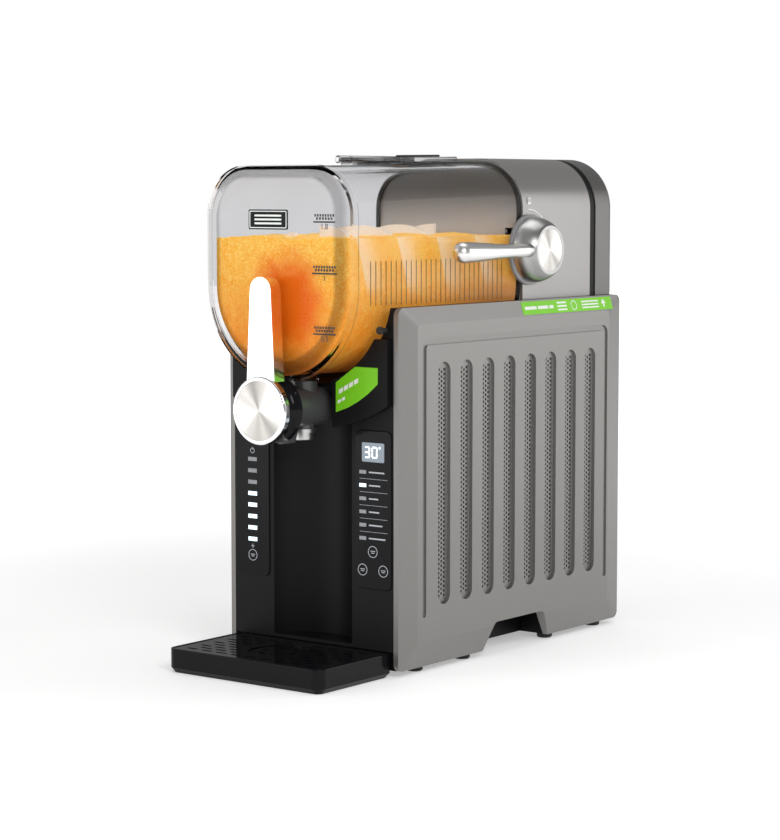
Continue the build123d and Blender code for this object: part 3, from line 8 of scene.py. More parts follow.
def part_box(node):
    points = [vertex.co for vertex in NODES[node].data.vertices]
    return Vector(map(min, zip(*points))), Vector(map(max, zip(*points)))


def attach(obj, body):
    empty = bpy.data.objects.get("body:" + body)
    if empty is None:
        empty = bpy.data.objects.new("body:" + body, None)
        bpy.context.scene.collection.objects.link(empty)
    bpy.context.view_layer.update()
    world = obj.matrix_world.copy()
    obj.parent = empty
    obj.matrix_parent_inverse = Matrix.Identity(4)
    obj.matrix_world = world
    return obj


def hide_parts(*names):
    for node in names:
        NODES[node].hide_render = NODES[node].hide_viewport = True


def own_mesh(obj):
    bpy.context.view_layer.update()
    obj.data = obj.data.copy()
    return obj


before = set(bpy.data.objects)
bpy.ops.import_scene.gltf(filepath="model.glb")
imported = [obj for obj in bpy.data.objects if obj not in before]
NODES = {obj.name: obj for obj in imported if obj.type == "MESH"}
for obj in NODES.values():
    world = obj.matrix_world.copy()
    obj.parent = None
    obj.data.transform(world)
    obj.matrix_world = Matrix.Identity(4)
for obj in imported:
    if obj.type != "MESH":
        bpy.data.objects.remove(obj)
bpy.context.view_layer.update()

MM = 0.001

# ---- where the object's own pieces are ---------------------------------------
VESSEL_LOW, VESSEL_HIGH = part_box("vessel")
SLUSH_LOW, SLUSH_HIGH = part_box("slush_fill")
DISPLAY_LOW, DISPLAY_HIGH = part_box("display_window")
CATCH_FRONT_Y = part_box("condensation_catch")[0][1]
DISC_LOW, DISC_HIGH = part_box("tap_disc")
KNOB_LOW, KNOB_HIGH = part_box("lock_disc")
RING_LOW, RING_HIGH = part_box("lock_ring")
AUGER_LOW, AUGER_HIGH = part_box("auger")
DRIVE_Z = (AUGER_LOW[2] + AUGER_HIGH[2]) / 2
BELLY_Z = VESSEL_LOW[2] + VESSEL_HIGH[0]
VESSEL_TOP_Z = 0.3954


def middle(low, high):
    """Centre of a box."""
    return (Vector(low) + Vector(high)) / 2


# ---- shader expressions ------------------------------------------------------
class Value:
    """A shader socket; arithmetic on it adds Math nodes to its material."""

    def __init__(self, paint, socket):
        self.paint = paint
        self.socket = socket

    def math(self, operation, first, *others):
        sockets = dict(enumerate((first, *others)))
        return self.paint.node("ShaderNodeMath", {"operation": operation}, sockets)

    def __add__(self, other):
        return self.math("ADD", self, other)

    def __radd__(self, other):
        return self.math("ADD", other, self)

    def __sub__(self, other):
        return self.math("SUBTRACT", self, other)

    def __rsub__(self, other):
        return self.math("SUBTRACT", other, self)

    def __mul__(self, other):
        return self.math("MULTIPLY", self, other)

    def __rmul__(self, other):
        return self.math("MULTIPLY", other, self)

    def __truediv__(self, other):
        return self.math("DIVIDE", self, other)

    def __pow__(self, other):
        return self.math("POWER", self, other)

    def above(self, limit):
        return self.math("GREATER_THAN", self, limit)

    def sine(self):
        return self.math("SINE", self)

    def size(self):
        return self.math("ABSOLUTE", self)

    def angle_to(self, other):
        return self.math("ARCTAN2", self, other)

    def arc_cosine(self):
        return self.math("ARCCOSINE", self)

    def most(self, other):
        return self.math("MAXIMUM", self, other)

    def least(self, other):
        return self.math("MINIMUM", self, other)

    def fraction(self):
        return self.math("FRACT", self)

    def ease(self, low, high):
        """0 at low, 1 at high, smooth between them."""
        sockets = {"Value": self, "From Min": low, "From Max": high}
        return self.paint.node("ShaderNodeMapRange", {"interpolation_type": "SMOOTHSTEP"}, sockets)


class Paint:
    """One material and the nodes that make it."""

    def __init__(self, name):
        self.material = bpy.data.materials.new(name)
        self.material.use_nodes = True
        self.tree = self.material.node_tree
        self.tree.nodes.clear()
        self.output = self.tree.nodes.new("ShaderNodeOutputMaterial")

    def node(self, kind, settings=None, sockets=None, out=0):
        """Adds a node: its settings first, then the values or links of its sockets."""
        made = self.tree.nodes.new(kind)
        for name, setting in (settings or {}).items():
            if name == "stops":
                self.set_stops(made.color_ramp, setting)
            else:
                setattr(made, name, setting)
        for key, given in (sockets or {}).items():
            if isinstance(given, Value):
                self.tree.links.new(given.socket, made.inputs[key])
            else:
                made.inputs[key].default_value = given
        return Value(self, made.outputs[out])

    def set_stops(self, ramp, stops):
        while len(ramp.elements) < len(stops):
            ramp.elements.new(0.5)
        for element, (place, colour) in zip(ramp.elements, stops):
            element.position = place
            element.color = rgb(colour)

    def place(self):
        """Position on the object, in metres, in the frame's axes."""
        return self.node("ShaderNodeTexCoord", out="Object")

    def axes(self):
        """Position split into its x, y and z values."""
        place = self.place()
        return [self.node("ShaderNodeSeparateXYZ", None, {0: place}, out=axis) for axis in "XYZ"]

    def stretch(self, x, y, z):
        """Position scaled along each axis."""
        return self.node("ShaderNodeVectorMath", {"operation": "MULTIPLY"}, {0: self.place(), 1: (x, y, z)})

    def noise(self, scale, detail=3.0, rough=0.5, where=None):
        sockets = {"Vector": where or self.place(), "Scale": scale, "Detail": detail, "Roughness": rough}
        return self.node("ShaderNodeTexNoise", None, sockets)

    def grain(self, scale, where=None):
        sockets = {"Vector": where or self.place(), "Scale": scale}
        return self.node("ShaderNodeTexVoronoi", None, sockets)

    def mix(self, first, second, share):
        sockets = {0: share, 6: as_colour(first), 7: as_colour(second)}
        return self.node("ShaderNodeMix", {"data_type": "RGBA"}, sockets, out=2)

    def edge_on(self, blend):
        """0 where a face is seen square on, 1 where it is seen edge on."""
        return self.node("ShaderNodeLayerWeight", None, {"Blend": blend}, out="Facing")

    def ramp(self, value, stops):
        return self.node("ShaderNodeValToRGB", {"stops": stops}, {0: value})

    def bump(self, height, depth, strength=1.0):
        """Surface relief: height from 0 to 1, depth in metres."""
        return self.node("ShaderNodeBump", None, {"Height": height, "Distance": depth, "Strength": strength})

    def surface(self, **sockets):
        """Finishes the material with one Principled surface."""
        named = {key.replace("_", " "): value for key, value in sockets.items()}
        for key in ("Base Color", "Emission Color", "Specular Tint", "Coat Tint"):
            if key in named:
                named[key] = as_colour(named[key])
        shader = self.node("ShaderNodeBsdfPrincipled", None, named)
        self.tree.links.new(shader.socket, self.output.inputs["Surface"])
        return self.material


def rgb(colour):
    """Linear colour with its alpha, from three numbers or one grey."""
    if isinstance(colour, (int, float)):
        colour = (colour, colour, colour)
    return (*colour[:3], 1.0)


def as_colour(given):
    return given if isinstance(given, Value) else rgb(given)


# ---- finishes ----------------------------------------------------------------
def metallic_paint(name, colour, sheen_rough=0.36):
    """Satin metallic paint: fine flake, slight orange peel and a little unevenness."""
    paint = Paint(name)
    flake = paint.grain(5200.0)
    cloud = paint.noise(9.0, 2.0)
    tone = paint.mix(colour, [c * 1.22 for c in colour], flake * 0.5 + cloud * 0.35)
    peel = paint.noise(700.0, 2.0)
    rough = sheen_rough + 0.05 * cloud + 0.05 * flake
    return paint.surface(
        Base_Color=tone, Metallic=0.55, Roughness=rough, Normal=paint.bump(peel, 0.00002, 0.12),
        Coat_Weight=0.12, Coat_Roughness=0.22,
    )


def moulded_plastic(name, colour, rough=0.45, grain_scale=1500.0, depth=0.00005, shine=0.5):
    """Plastic moulding with a fine spark-eroded grain."""
    paint = Paint(name)
    grain = paint.noise(grain_scale, 3.0)
    cloud = paint.noise(14.0, 2.0)
    tone = paint.mix(colour, [c * 1.5 + 0.002 for c in colour], cloud)
    return paint.surface(
        Base_Color=tone, Roughness=rough + 0.10 * grain, Specular_IOR_Level=shine,
        Normal=paint.bump(grain, depth, 0.5),
    )


def polished_plastic(name, colour):
    """Glossy black moulding with faint smears from wiping."""
    paint = Paint(name)
    smear = paint.noise(1.0, 4.0, 0.6, paint.stretch(30.0, 90.0, 12.0))
    tone = paint.mix(colour, [c * 1.6 + 0.002 for c in colour], smear)
    return paint.surface(Base_Color=tone, Roughness=0.07 + 0.10 * smear, Specular_IOR_Level=0.13)


def smoke_glass(name, tint, rough=0.015, lip_shade=False):
    """Clear moulded plastic with faint flow marks and a smoke tint that deepens edge on, partly the tint seen
    through more plastic and partly painted shade for light bent in the thick walls.
    """
    paint = Paint(name)
    flow = paint.noise(1.0, 2.0, 0.5, paint.stretch(26.0, 9.0, 26.0))
    edge_on_tint_and_shade = paint.edge_on(0.35)
    streaked = paint.mix(tint, [c * 0.93 for c in tint], flow)
    # partly painted shade: the tint darkens where a wall is seen edge on
    tone = paint.mix(streaked, [c * 0.42 for c in tint], edge_on_tint_and_shade * edge_on_tint_and_shade)
    if lip_shade:
        # painted shade: a darker band just inside the front window for the thick flange
        tone = paint.mix(tone, [c * 0.62 for c in tint], window_lip_shade(paint))
    return paint.surface(
        Base_Color=tone, Roughness=rough, IOR=1.10, Transmission_Weight=1.0,
        Normal=paint.bump(flow, 0.0002, 0.12),
    )


LIP_INNER, LIP_OUTER, LIP_CORNER = 0.0575, 0.0665, 0.026


def window_lip_shade(paint):
    """1 on the thick band just inside the front window's outline, 0 elsewhere: where the vessel's tint gets its
    painted shade.
    """
    x, y, z = paint.axes()
    below = (z - BELLY_Z).least(0.0)
    round_part = (x * x + below * below) ** 0.5
    corner_x = (x.size() - (LIP_INNER - LIP_CORNER)).most(0.0)
    corner_z = (z - (VESSEL_TOP_Z - 0.009 - LIP_CORNER)).most(0.0)
    box_part = (corner_x * corner_x + corner_z * corner_z) ** 0.5 + (LIP_INNER - LIP_CORNER)
    reach = round_part.most(box_part)
    front = 1 - y.ease(VESSEL_LOW[1] + 0.012, VESSEL_LOW[1] + 0.018)
    past_inner = reach.ease(LIP_INNER - 0.0015, LIP_INNER + 0.0015)
    past_outer = reach.ease(LIP_OUTER - 0.002, LIP_OUTER + 0.002)
    return past_inner * (1 - past_outer) * front


def milky_plastic(name, colour):
    """Milky auger plastic that lets some light through, with a faint painted glow."""
    paint = Paint(name)
    cloud = paint.noise(60.0, 3.0)
    tone = paint.mix(colour, [c * 0.9 for c in colour], cloud)
    # painted glow: faint emission, though the auger is no lamp
    return paint.surface(
        Base_Color=tone, Roughness=0.28 + 0.1 * cloud, Transmission_Weight=0.2, IOR=1.45,
        Emission_Color=tone, Emission_Strength=0.12,
    )


def polished_chrome(name):
    """Bright plate with very faint polishing haze."""
    paint = Paint(name)
    haze = paint.noise(1.0, 4.0, 0.6, paint.stretch(60.0, 60.0, 15.0))
    tone = paint.mix((0.90, 0.90, 0.91), (0.97, 0.97, 0.97), haze)
    return paint.surface(Base_Color=tone, Metallic=1.0, Roughness=0.10 + 0.10 * haze)


def radial_brushed_sheen(name, centre, across, bright=1.0):
    """Disc brushed round its centre, with a painted sheen of light and dark wedges by angle; across names the two
    axes that lie in its face.
    """
    paint = Paint(name)
    values = dict(zip("XYZ", paint.axes()))
    first = values[across[0]] - centre["XYZ".index(across[0])]
    second = values[across[1]] - centre["XYZ".index(across[1])]
    angle = second.angle_to(first)
    radius = (first * first + second * second) ** 0.5
    # painted sheen: light and dark wedges by angle stand in for the highlights that radial brushing throws
    sheen_fan = 0.5 + 0.28 * (angle * 2.0 + 0.9).sine()
    sheen_fan = sheen_fan + 0.14 * (angle * 5.0 + 2.1).sine() + 0.08 * (angle * 9.0).sine()
    rings = paint.noise(1.0, 1.0, 0.5, paint.node("ShaderNodeCombineXYZ", None, {0: radius * 9000.0}))
    sheen_shades = (
        (0.0, (0.34, 0.33, 0.31)), (0.35, (0.55, 0.53, 0.50)),
        (0.62, (0.80, 0.77, 0.74)), (1.0, (0.95, 0.94, 0.92)),
    )
    tone = paint.ramp(sheen_fan, [(stop, [c * bright for c in shade]) for stop, shade in sheen_shades])
    return paint.surface(
        Base_Color=tone, Metallic=1.0, Roughness=0.22 + 0.12 * rings, Normal=paint.bump(rings, 0.00003, 0.5),
    )


def satin_steel(name, colour=(0.62, 0.62, 0.62), rough=0.28):
    """Turned or drawn metal with a fine brushed line."""
    paint = Paint(name)
    line = paint.noise(1.0, 2.0, 0.5, paint.stretch(2400.0, 60.0, 2400.0))
    tone = paint.mix([c * 0.85 for c in colour], colour, line)
    return paint.surface(
        Base_Color=tone, Metallic=1.0, Roughness=rough + 0.10 * line, Normal=paint.bump(line, 0.00002, 0.4),
    )


def lock_metal(name, centre):
    """Satin metal, gunmetal on the round knob and brighter along its arm."""
    paint = Paint(name)
    _, y, z = paint.axes()
    off_y, off_z = y - centre[1], z - centre[2]
    arm = ((off_y * off_y + off_z * off_z) ** 0.5).ease(0.022, 0.030)
    line = paint.noise(1.0, 2.0, 0.5, paint.stretch(2400.0, 60.0, 2400.0))
    tone = paint.mix((0.30, 0.30, 0.295), (0.80, 0.79, 0.78), arm * 0.9 + line * 0.1)
    return paint.surface(
        Base_Color=tone, Metallic=1.0, Roughness=0.26 + 0.08 * line, Normal=paint.bump(line, 0.00002, 0.4),
    )


def bulkhead_plastic(name):
    """Grey moulding behind the vessel, paler lower down where the bright drink lights it."""
    paint = Paint(name)
    _, _, z = paint.axes()
    cloud = paint.noise(14.0, 2.0)
    height = z.ease(SLUSH_HIGH[2] - 0.004, SLUSH_HIGH[2] + 0.040)
    tone = paint.mix((0.50, 0.51, 0.53), (0.085, 0.087, 0.09), height)
    return paint.surface(Base_Color=tone, Roughness=0.4 + 0.1 * cloud)


def matt_rubber(name):
    paint = Paint(name)
    grain = paint.noise(2200.0, 3.0)
    tone = paint.mix((0.012, 0.012, 0.012), (0.028, 0.028, 0.028), grain)
    return paint.surface(
        Base_Color=tone, Roughness=0.68 + 0.15 * grain, Normal=paint.bump(grain, 0.00006, 0.6),
    )


FLIGHT_R, FLIGHT_PITCH = 0.057, 0.050


def frozen_orange(name):
    """Packed orange slush: ice grains, paler frost near the top, deeper orange round the hub, painted shade low
    down and along the side walls, and a painted glow.
    """
    paint = Paint(name)
    x, y, z = paint.axes()
    hub_x = x - 0.010
    hub_z = z - (DRIVE_Z - 0.002)
    ragged = paint.noise(38.0, 3.0, 0.6)
    from_hub = (hub_x * hub_x + hub_z * hub_z) ** 0.5 + (ragged - 0.5) * 0.030
    # mask for a deeper orange round the hub
    round_hub = 1 - from_hub.ease(0.022, 0.046)
    fine = paint.noise(900.0, 4.0, 0.7)
    ice = paint.grain(620.0)
    clump = paint.noise(120.0, 3.0, 0.6)
    height = z.ease(SLUSH_LOW[2] + 0.015, SLUSH_HIGH[2])
    body = paint.mix((0.86, 0.22, 0.004), (0.95, 0.43, 0.028), height * 0.75 + clump * 0.25)
    frost = (fine * 1.3 + ice * 1.0 + clump * 0.9 - 1.25) * (0.35 + 0.75 * height)
    frosty = paint.mix(body, (1.0, 0.68, 0.17), frost)
    deep = paint.mix(frosty, (0.82, 0.12, 0.001), round_hub * 0.92)
    turn = ((z - DRIVE_Z) / FLIGHT_R).arc_cosine() / math.pi
    behind = (y / FLIGHT_PITCH - turn).fraction()
    flight = behind.ease(0.0, 0.04) * (1 - behind.ease(0.04, 0.60)) * z.ease(DRIVE_Z, DRIVE_Z + 0.020)
    deep = paint.mix(deep, (1.0, 0.78, 0.50), flight * 0.72 * x.size().ease(0.055, 0.066))
    # painted shade: darker brown along the side walls, stronger towards the rear and below the drive
    rearward_shade = y.ease(-0.13, 0.0) * (1 - z.ease(DRIVE_Z - 0.004, DRIVE_Z + 0.030))
    deep = paint.mix(deep, (0.42, 0.17, 0.05), x.size().ease(0.058, 0.067) * (0.2 + 0.65 * rearward_shade))
    # painted shade: dark brown towards the bottom of the slush
    bottom_shade = (1 - z.ease(SLUSH_LOW[2] + 0.006, SLUSH_LOW[2] + 0.032)) * 0.85
    tone = paint.mix(deep, (0.22, 0.055, 0.012), bottom_shade)
    # painted glow: the slush gives out its own colour as light, though it is no lamp
    return paint.surface(
        Base_Color=tone, Roughness=0.38 + 0.2 * fine, Specular_IOR_Level=0.08,
        Normal=paint.bump(fine * 0.5 + ice * 0.5, 0.0008, 0.6),
        Subsurface_Weight=0.25, Subsurface_Radius=(0.006, 0.003, 0.001), Subsurface_Scale=1.0,
        Emission_Color=tone, Emission_Strength=0.36,
    )


def glowing(name, colour, strength):
    """Backlit window with a slight uneven mottle."""
    paint = Paint(name)
    cloud = paint.noise(400.0, 2.0)
    tone = paint.mix(colour, [c * 0.85 for c in colour], cloud)
    return paint.surface(Base_Color=tone, Roughness=0.25, Emission_Color=tone, Emission_Strength=strength)


def indicator_windows(name):
    """Light windows: the lower five on the left and the second on the right are lit."""
    paint = Paint(name)
    x, y, z = paint.axes()
    left = 1 - x.above(0.0)
    low = 1 - z.above(LEFT_LIT_TOP)
    chosen = 1 - ((z - RIGHT_LIT_Z).size()).above(0.003)
    lit = left * low + x.above(0.0) * chosen
    edge = paint.noise(900.0, 1.0)
    tone = paint.mix((0.24, 0.25, 0.26), (0.72, 0.88, 1.0), lit)
    # painted glow: the unlit windows also give out a faint light
    glow = paint.mix((0.05, 0.05, 0.055), (0.75, 0.90, 1.0), lit)
    return paint.surface(
        Base_Color=tone, Roughness=0.3 + 0.1 * edge, Emission_Color=glow, Emission_Strength=1.1,
    )


def printed_label(name, colour):
    """Printed film: even colour with the faint mottle of ink."""
    paint = Paint(name)
    mottle = paint.noise(300.0, 3.0)
    tone = paint.mix(colour, [c * 0.86 for c in colour], mottle)
    return paint.surface(Base_Color=tone, Roughness=0.42 + 0.1 * mottle)


LIGHTS_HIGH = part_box("indicator_lights")[1]
LEFT_PITCH = 0.00924
LEFT_LIT_TOP = LIGHTS_HIGH[2] - 2.5 * LEFT_PITCH
RIGHT_LIT_Z = 0.1594 - 0.01034

GREY_PAINT = metallic_paint("grey_paint", (0.205, 0.198, 0.190))
HOUSING_PAINT = metallic_paint("housing_paint", (0.235, 0.228, 0.222), 0.26)
# painted shade: the rear cap's paint is a darker copy of the housing paint, for the shade on the upper rear
REAR_PAINT_SHADED = metallic_paint("rear_paint_shaded", (0.105, 0.102, 0.099), 0.26)
MESH_PAINT = metallic_paint("mesh_paint", (0.20, 0.194, 0.186))
BLACK_PLASTIC = moulded_plastic("black_plastic", (0.004, 0.004, 0.0045), 0.36, shine=0.14)
GREY_PLASTIC = moulded_plastic("grey_plastic", (0.21, 0.21, 0.215), 0.4, 1500.0, 0.00001)
DARK_PLASTIC = moulded_plastic("dark_grey_plastic", (0.022, 0.022, 0.024), 0.42, shine=0.3)
GLOSS_BLACK = polished_plastic("gloss_black", (0.004, 0.004, 0.005))
SMOKE_VESSEL = smoke_glass("smoke_vessel", (0.84, 0.84, 0.85), lip_shade=True)
SMOKE_LID = smoke_glass("smoke_lid", (0.60, 0.60, 0.61), 0.03)
SMOKE_DARK = smoke_glass("smoke_dark", (0.34, 0.34, 0.36), 0.05)
TAP_PLASTIC = moulded_plastic("tap_plastic", (0.050, 0.050, 0.052), 0.16, 500.0, 0.00001, 0.55)
MILKY = milky_plastic("milky_plastic", (0.93, 0.92, 0.90))
CHROME = polished_chrome("bright_plate")
NOZZLE_METAL = satin_steel("nozzle_metal", (0.62, 0.62, 0.61), 0.30)
TAP_BRUSHED_SHEEN = radial_brushed_sheen("tap_brushed_sheen", middle(DISC_LOW, DISC_HIGH), "XZ", 0.80)
KNOB_BRUSHED_SHEEN = radial_brushed_sheen("knob_brushed_sheen", middle(KNOB_LOW, KNOB_HIGH), "YZ", 0.66)
LOCK_METAL = lock_metal("lock_metal", middle(KNOB_LOW, KNOB_HIGH))
BULKHEAD_GREY = bulkhead_plastic("bulkhead_grey")
STEEL = satin_steel("steel")
ZINC = satin_steel("zinc", (0.55, 0.56, 0.58), 0.34)
COPPER = satin_steel("copper", (0.42, 0.20, 0.11), 0.36)
BRASS = satin_steel("brass", (0.78, 0.58, 0.26), 0.25)
FIN_METAL = satin_steel("fin_metal", (0.10, 0.10, 0.11), 0.5)
BLACK_STEEL = moulded_plastic("black_powder_coat", (0.014, 0.014, 0.015), 0.5, 900.0, 0.00008)
NATURAL_PLASTIC = moulded_plastic("natural_plastic", (0.75, 0.73, 0.68), 0.4)
BOARD_GREEN = moulded_plastic("board_green", (0.01, 0.12, 0.04), 0.35)
RUBBER = matt_rubber("rubber")
SLUSH = frozen_orange("frozen_orange")
DISPLAY_GLASS = glowing("display_glass", (0.20, 0.24, 0.28), 0.55)
DIGIT_LIGHT = glowing("digit_light", (0.95, 0.98, 1.0), 0.9)
ICON_LIGHT = glowing("icon_light", (0.42, 0.44, 0.47), 0.22)
INDICATORS = indicator_windows("indicator_windows")
GREEN_FILM = printed_label("green_film", (0.19, 0.62, 0.004))
WHITE_INK = printed_label("white_ink", (0.85, 0.88, 0.84))
DARK_INK = printed_label("dark_ink", (0.02, 0.018, 0.018))

NODE_FINISH = {
    "side_panel_right": GREY_PAINT, "side_panel_left": GREY_PAINT, "vent_mesh_right": MESH_PAINT,
    "vent_mesh_left": MESH_PAINT, "motor_housing": HOUSING_PAINT, "rear_cap": REAR_PAINT_SHADED,
    "front_tower": BLACK_PLASTIC, "base_pan": BLACK_PLASTIC, "top_deck": BLACK_PLASTIC,
    "catch_pegs": DARK_PLASTIC, "condensation_catch": BLACK_PLASTIC, "housing_band": BLACK_PLASTIC,
    "power_inlet": BLACK_PLASTIC, "fan_shroud": BLACK_PLASTIC, "fan_rotor": DARK_PLASTIC,
    "bulkhead": BULKHEAD_GREY, "lock_ring": GREY_PLASTIC, "control_panel_left": GLOSS_BLACK,
    "control_panel_right": GLOSS_BLACK, "tap_drum": GLOSS_BLACK, "drip_tray": GLOSS_BLACK,
    "drip_grille": GLOSS_BLACK, "rubber_feet": RUBBER, "vessel_gasket": RUBBER, "lid_grip": RUBBER,
    "display_window": DISPLAY_GLASS, "indicator_lights": INDICATORS, "rear_panel": BLACK_STEEL,
    "compressor": BLACK_STEEL, "rear_screws": ZINC, "fan_motor": ZINC, "gear_plate": ZINC, "gear_motor": ZINC,
    "condenser_fins": FIN_METAL, "condenser_tubes": COPPER, "refrigerant_tubes": COPPER, "filter_dryer": COPPER,
    "evaporator_coil": COPPER, "control_board": BOARD_GREEN, "evaporator": STEEL, "drive_shaft": STEEL,
    "lid_pin": STEEL, "tap_spring": STEEL, "tap_pin": STEEL, "lock_shaft": STEEL, "shaft_bearing": BRASS,
    "motor_pinion": BRASS, "drive_gear": NATURAL_PLASTIC, "tap_plunger": NATURAL_PLASTIC, "auger": MILKY,
    "vessel": SMOKE_VESSEL, "lid_base": SMOKE_LID, "lid_flap": SMOKE_LID, "tap_body": TAP_PLASTIC,
    "tap_nozzle": NOZZLE_METAL, "tap_lever": CHROME, "tap_disc": TAP_BRUSHED_SHEEN, "lock_knob": LOCK_METAL,
    "lock_disc": KNOB_BRUSHED_SHEEN, "slush_fill": SLUSH,
}
for node_name, finish in NODE_FINISH.items():
    node = NODES[node_name]
    for slot_index in range(len(node.material_slots)):
        node.material_slots[slot_index].material = finish


# ---- making pieces -----------------------------------------------------------
def piece(name, mesh, material, body, smooth_angle=30.0):
    """Adds a mesh as a piece of the object that rides on a body."""
    made = bpy.data.objects.new(name, mesh)
    bpy.context.scene.collection.objects.link(made)
    made.data.materials.clear()
    made.data.materials.append(material)
    if smooth_angle:
        made.data.shade_smooth()
        made.data.set_sharp_from_angle(angle=math.radians(smooth_angle))
    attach(made, body)
    return made


def mesh_from(name, points, faces):
    mesh = bpy.data.meshes.new(name)
    mesh.from_pydata([tuple(point) for point in points], [], faces)
    mesh.update()
    return mesh


def finish_bmesh(name, build):
    """Mesh from a function that fills a bmesh."""
    work = bmesh.new()
    build(work)
    bmesh.ops.recalc_face_normals(work, faces=work.faces)
    mesh = bpy.data.meshes.new(name)
    work.to_mesh(mesh)
    work.free()
    return mesh


def plate(work, outline, origin, across, up, thick):
    """Adds a flat plate: outline in metres on two axes, thick along their normal."""
    across, up = Vector(across), Vector(up)
    normal = across.cross(up)
    base = [work.verts.new(Vector(origin) + across * a + up * b) for a, b in outline]
    top = [work.verts.new(vert.co + normal * thick) for vert in base]
    work.faces.new(base[::-1])
    work.faces.new(top)
    for index in range(len(base)):
        following = (index + 1) % len(base)
        work.faces.new((base[index], base[following], top[following], top[index]))


def ring_plate(work, outer, inner, origin, across, up, thick):
    """Adds a flat frame between two outlines with the same number of points."""
    across, up = Vector(across), Vector(up)
    normal = across.cross(up)
    loops = []
    for lift in (0.0, thick):
        for outline in (outer, inner):
            loops.append([
                work.verts.new(Vector(origin) + across * a + up * b + normal * lift) for a, b in outline
            ])
    low_out, low_in, high_out, high_in = loops
    count = len(outer)
    for index in range(count):
        following = (index + 1) % count
        for first, second in ((low_in, low_out), (high_out, high_in), (low_out, high_out), (high_in, low_in)):
            work.faces.new((first[index], first[following], second[following], second[index]))


def circle_points(radius, count=40, centre=(0.0, 0.0)):
    turn = 2 * math.pi / count
    return [
        (centre[0] + radius * math.cos(turn * index), centre[1] + radius * math.sin(turn * index))
        for index in range(count)
    ]


def box_points(width, height, centre=(0.0, 0.0), corner=0.0, steps=5):
    """Rectangle outline with optional round corners."""
    half_w, half_h = width / 2, height / 2
    points = []
    for quarter, (sx, sy) in enumerate(((1, 1), (-1, 1), (-1, -1), (1, -1))):
        cx = centre[0] + sx * (half_w - corner)
        cy = centre[1] + sy * (half_h - corner)
        if corner == 0:
            points.append((cx, cy))
            continue
        for step in range(steps + 1):
            angle = math.radians(90 * quarter + 90 * step / steps)
            points.append((cx + corner * math.cos(angle), cy + corner * math.sin(angle)))
    return points


# ---- perforated vents --------------------------------------------------------
SLOT_COUNT, SLOT_PITCH, SLOT_FIRST_Y = 8, 30 * MM, -103.8 * MM
SLOT_BOTTOM, SLOT_TOP = 52 * MM, 243.5 * MM
HOLE_R, HOLE_PITCH_Z, HOLE_PITCH_Y = 1.15 * MM, 3.65 * MM, 3.3 * MM
STRIP_HALF_W = 9.5 * MM


def perforated_cell(work, x, y, z, width, height):
    """One cell of sheet with a hole in it."""
    half_w, half_h = width / 2, height / 2
    signs = ((1, 1), (-1, 1), (-1, -1), (1, -1))
    corners = [work.verts.new((x, y + sy * half_w, z + sz * half_h)) for sy, sz in signs]
    rim = []
    for step in range(12):
        angle = math.radians(15 + 30 * step)
        rim.append(work.verts.new((x, y + HOLE_R * math.cos(angle), z + HOLE_R * math.sin(angle))))
    for quarter in range(4):
        nearest = [rim[(quarter * 3 + step) % 12] for step in (0, 1, 2, 3)]
        corner = corners[quarter]
        following = corners[(quarter + 1) % 4]
        work.faces.new((corner, nearest[1], nearest[0]))
        work.faces.new((corner, nearest[2], nearest[1]))
        work.faces.new((corner, following, nearest[3], nearest[2]))


def plain_cell(work, x, y_low, y_high, z_low, z_high):
    corners = ((y_low, z_low), (y_high, z_low), (y_high, z_high), (y_low, z_high))
    work.faces.new([work.verts.new((x, y, z)) for y, z in corners])


def vent_strip(work, x, centre_y):
    """Strip of sheet behind one slot: three staggered columns of holes."""
    rows = int((SLOT_TOP - SLOT_BOTTOM - 7 * MM) / HOLE_PITCH_Z)
    low = (SLOT_BOTTOM + SLOT_TOP) / 2 - rows * HOLE_PITCH_Z / 2
    high = low + rows * HOLE_PITCH_Z
    for column in (-1, 0, 1):
        y = centre_y + column * HOLE_PITCH_Y
        shift = 0 if column else HOLE_PITCH_Z / 2
        for row in range(rows if column else rows - 1):
            perforated_cell(work, x, y, low + shift + (row + 0.5) * HOLE_PITCH_Z, HOLE_PITCH_Y, HOLE_PITCH_Z)
        if not column:
            plain_cell(work, x, y - HOLE_PITCH_Y / 2, y + HOLE_PITCH_Y / 2, low, low + shift)
            plain_cell(work, x, y - HOLE_PITCH_Y / 2, y + HOLE_PITCH_Y / 2, high - shift, high)
    for side in (-1, 1):
        near = centre_y + side * 1.5 * HOLE_PITCH_Y
        far = centre_y + side * STRIP_HALF_W
        plain_cell(work, x, min(near, far), max(near, far), low, high)
    for z_low, z_high in ((low - 4 * MM, low), (high, high + 4 * MM)):
        plain_cell(work, x, centre_y - STRIP_HALF_W, centre_y + STRIP_HALF_W, z_low, z_high)


def vent_sheet(side_name, side):
    low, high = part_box(f"vent_mesh_{side_name}")
    x = high[0] if side > 0 else low[0]

    def build(work):
        for index in range(SLOT_COUNT):
            vent_strip(work, x, SLOT_FIRST_Y + index * SLOT_PITCH)
        bmesh.ops.remove_doubles(work, verts=work.verts, dist=0.00002)

    mesh = finish_bmesh("sheet", build)
    sheet = piece(f"perforated_sheet_{side_name}", mesh, MESH_PAINT, "base", 0)
    thicken = sheet.modifiers.new("thickness", "SOLIDIFY")
    thicken.thickness = high[0] - low[0]
    thicken.offset = -1.0
    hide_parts(f"vent_mesh_{side_name}")


vent_sheet("right", 1)
vent_sheet("left", -1)


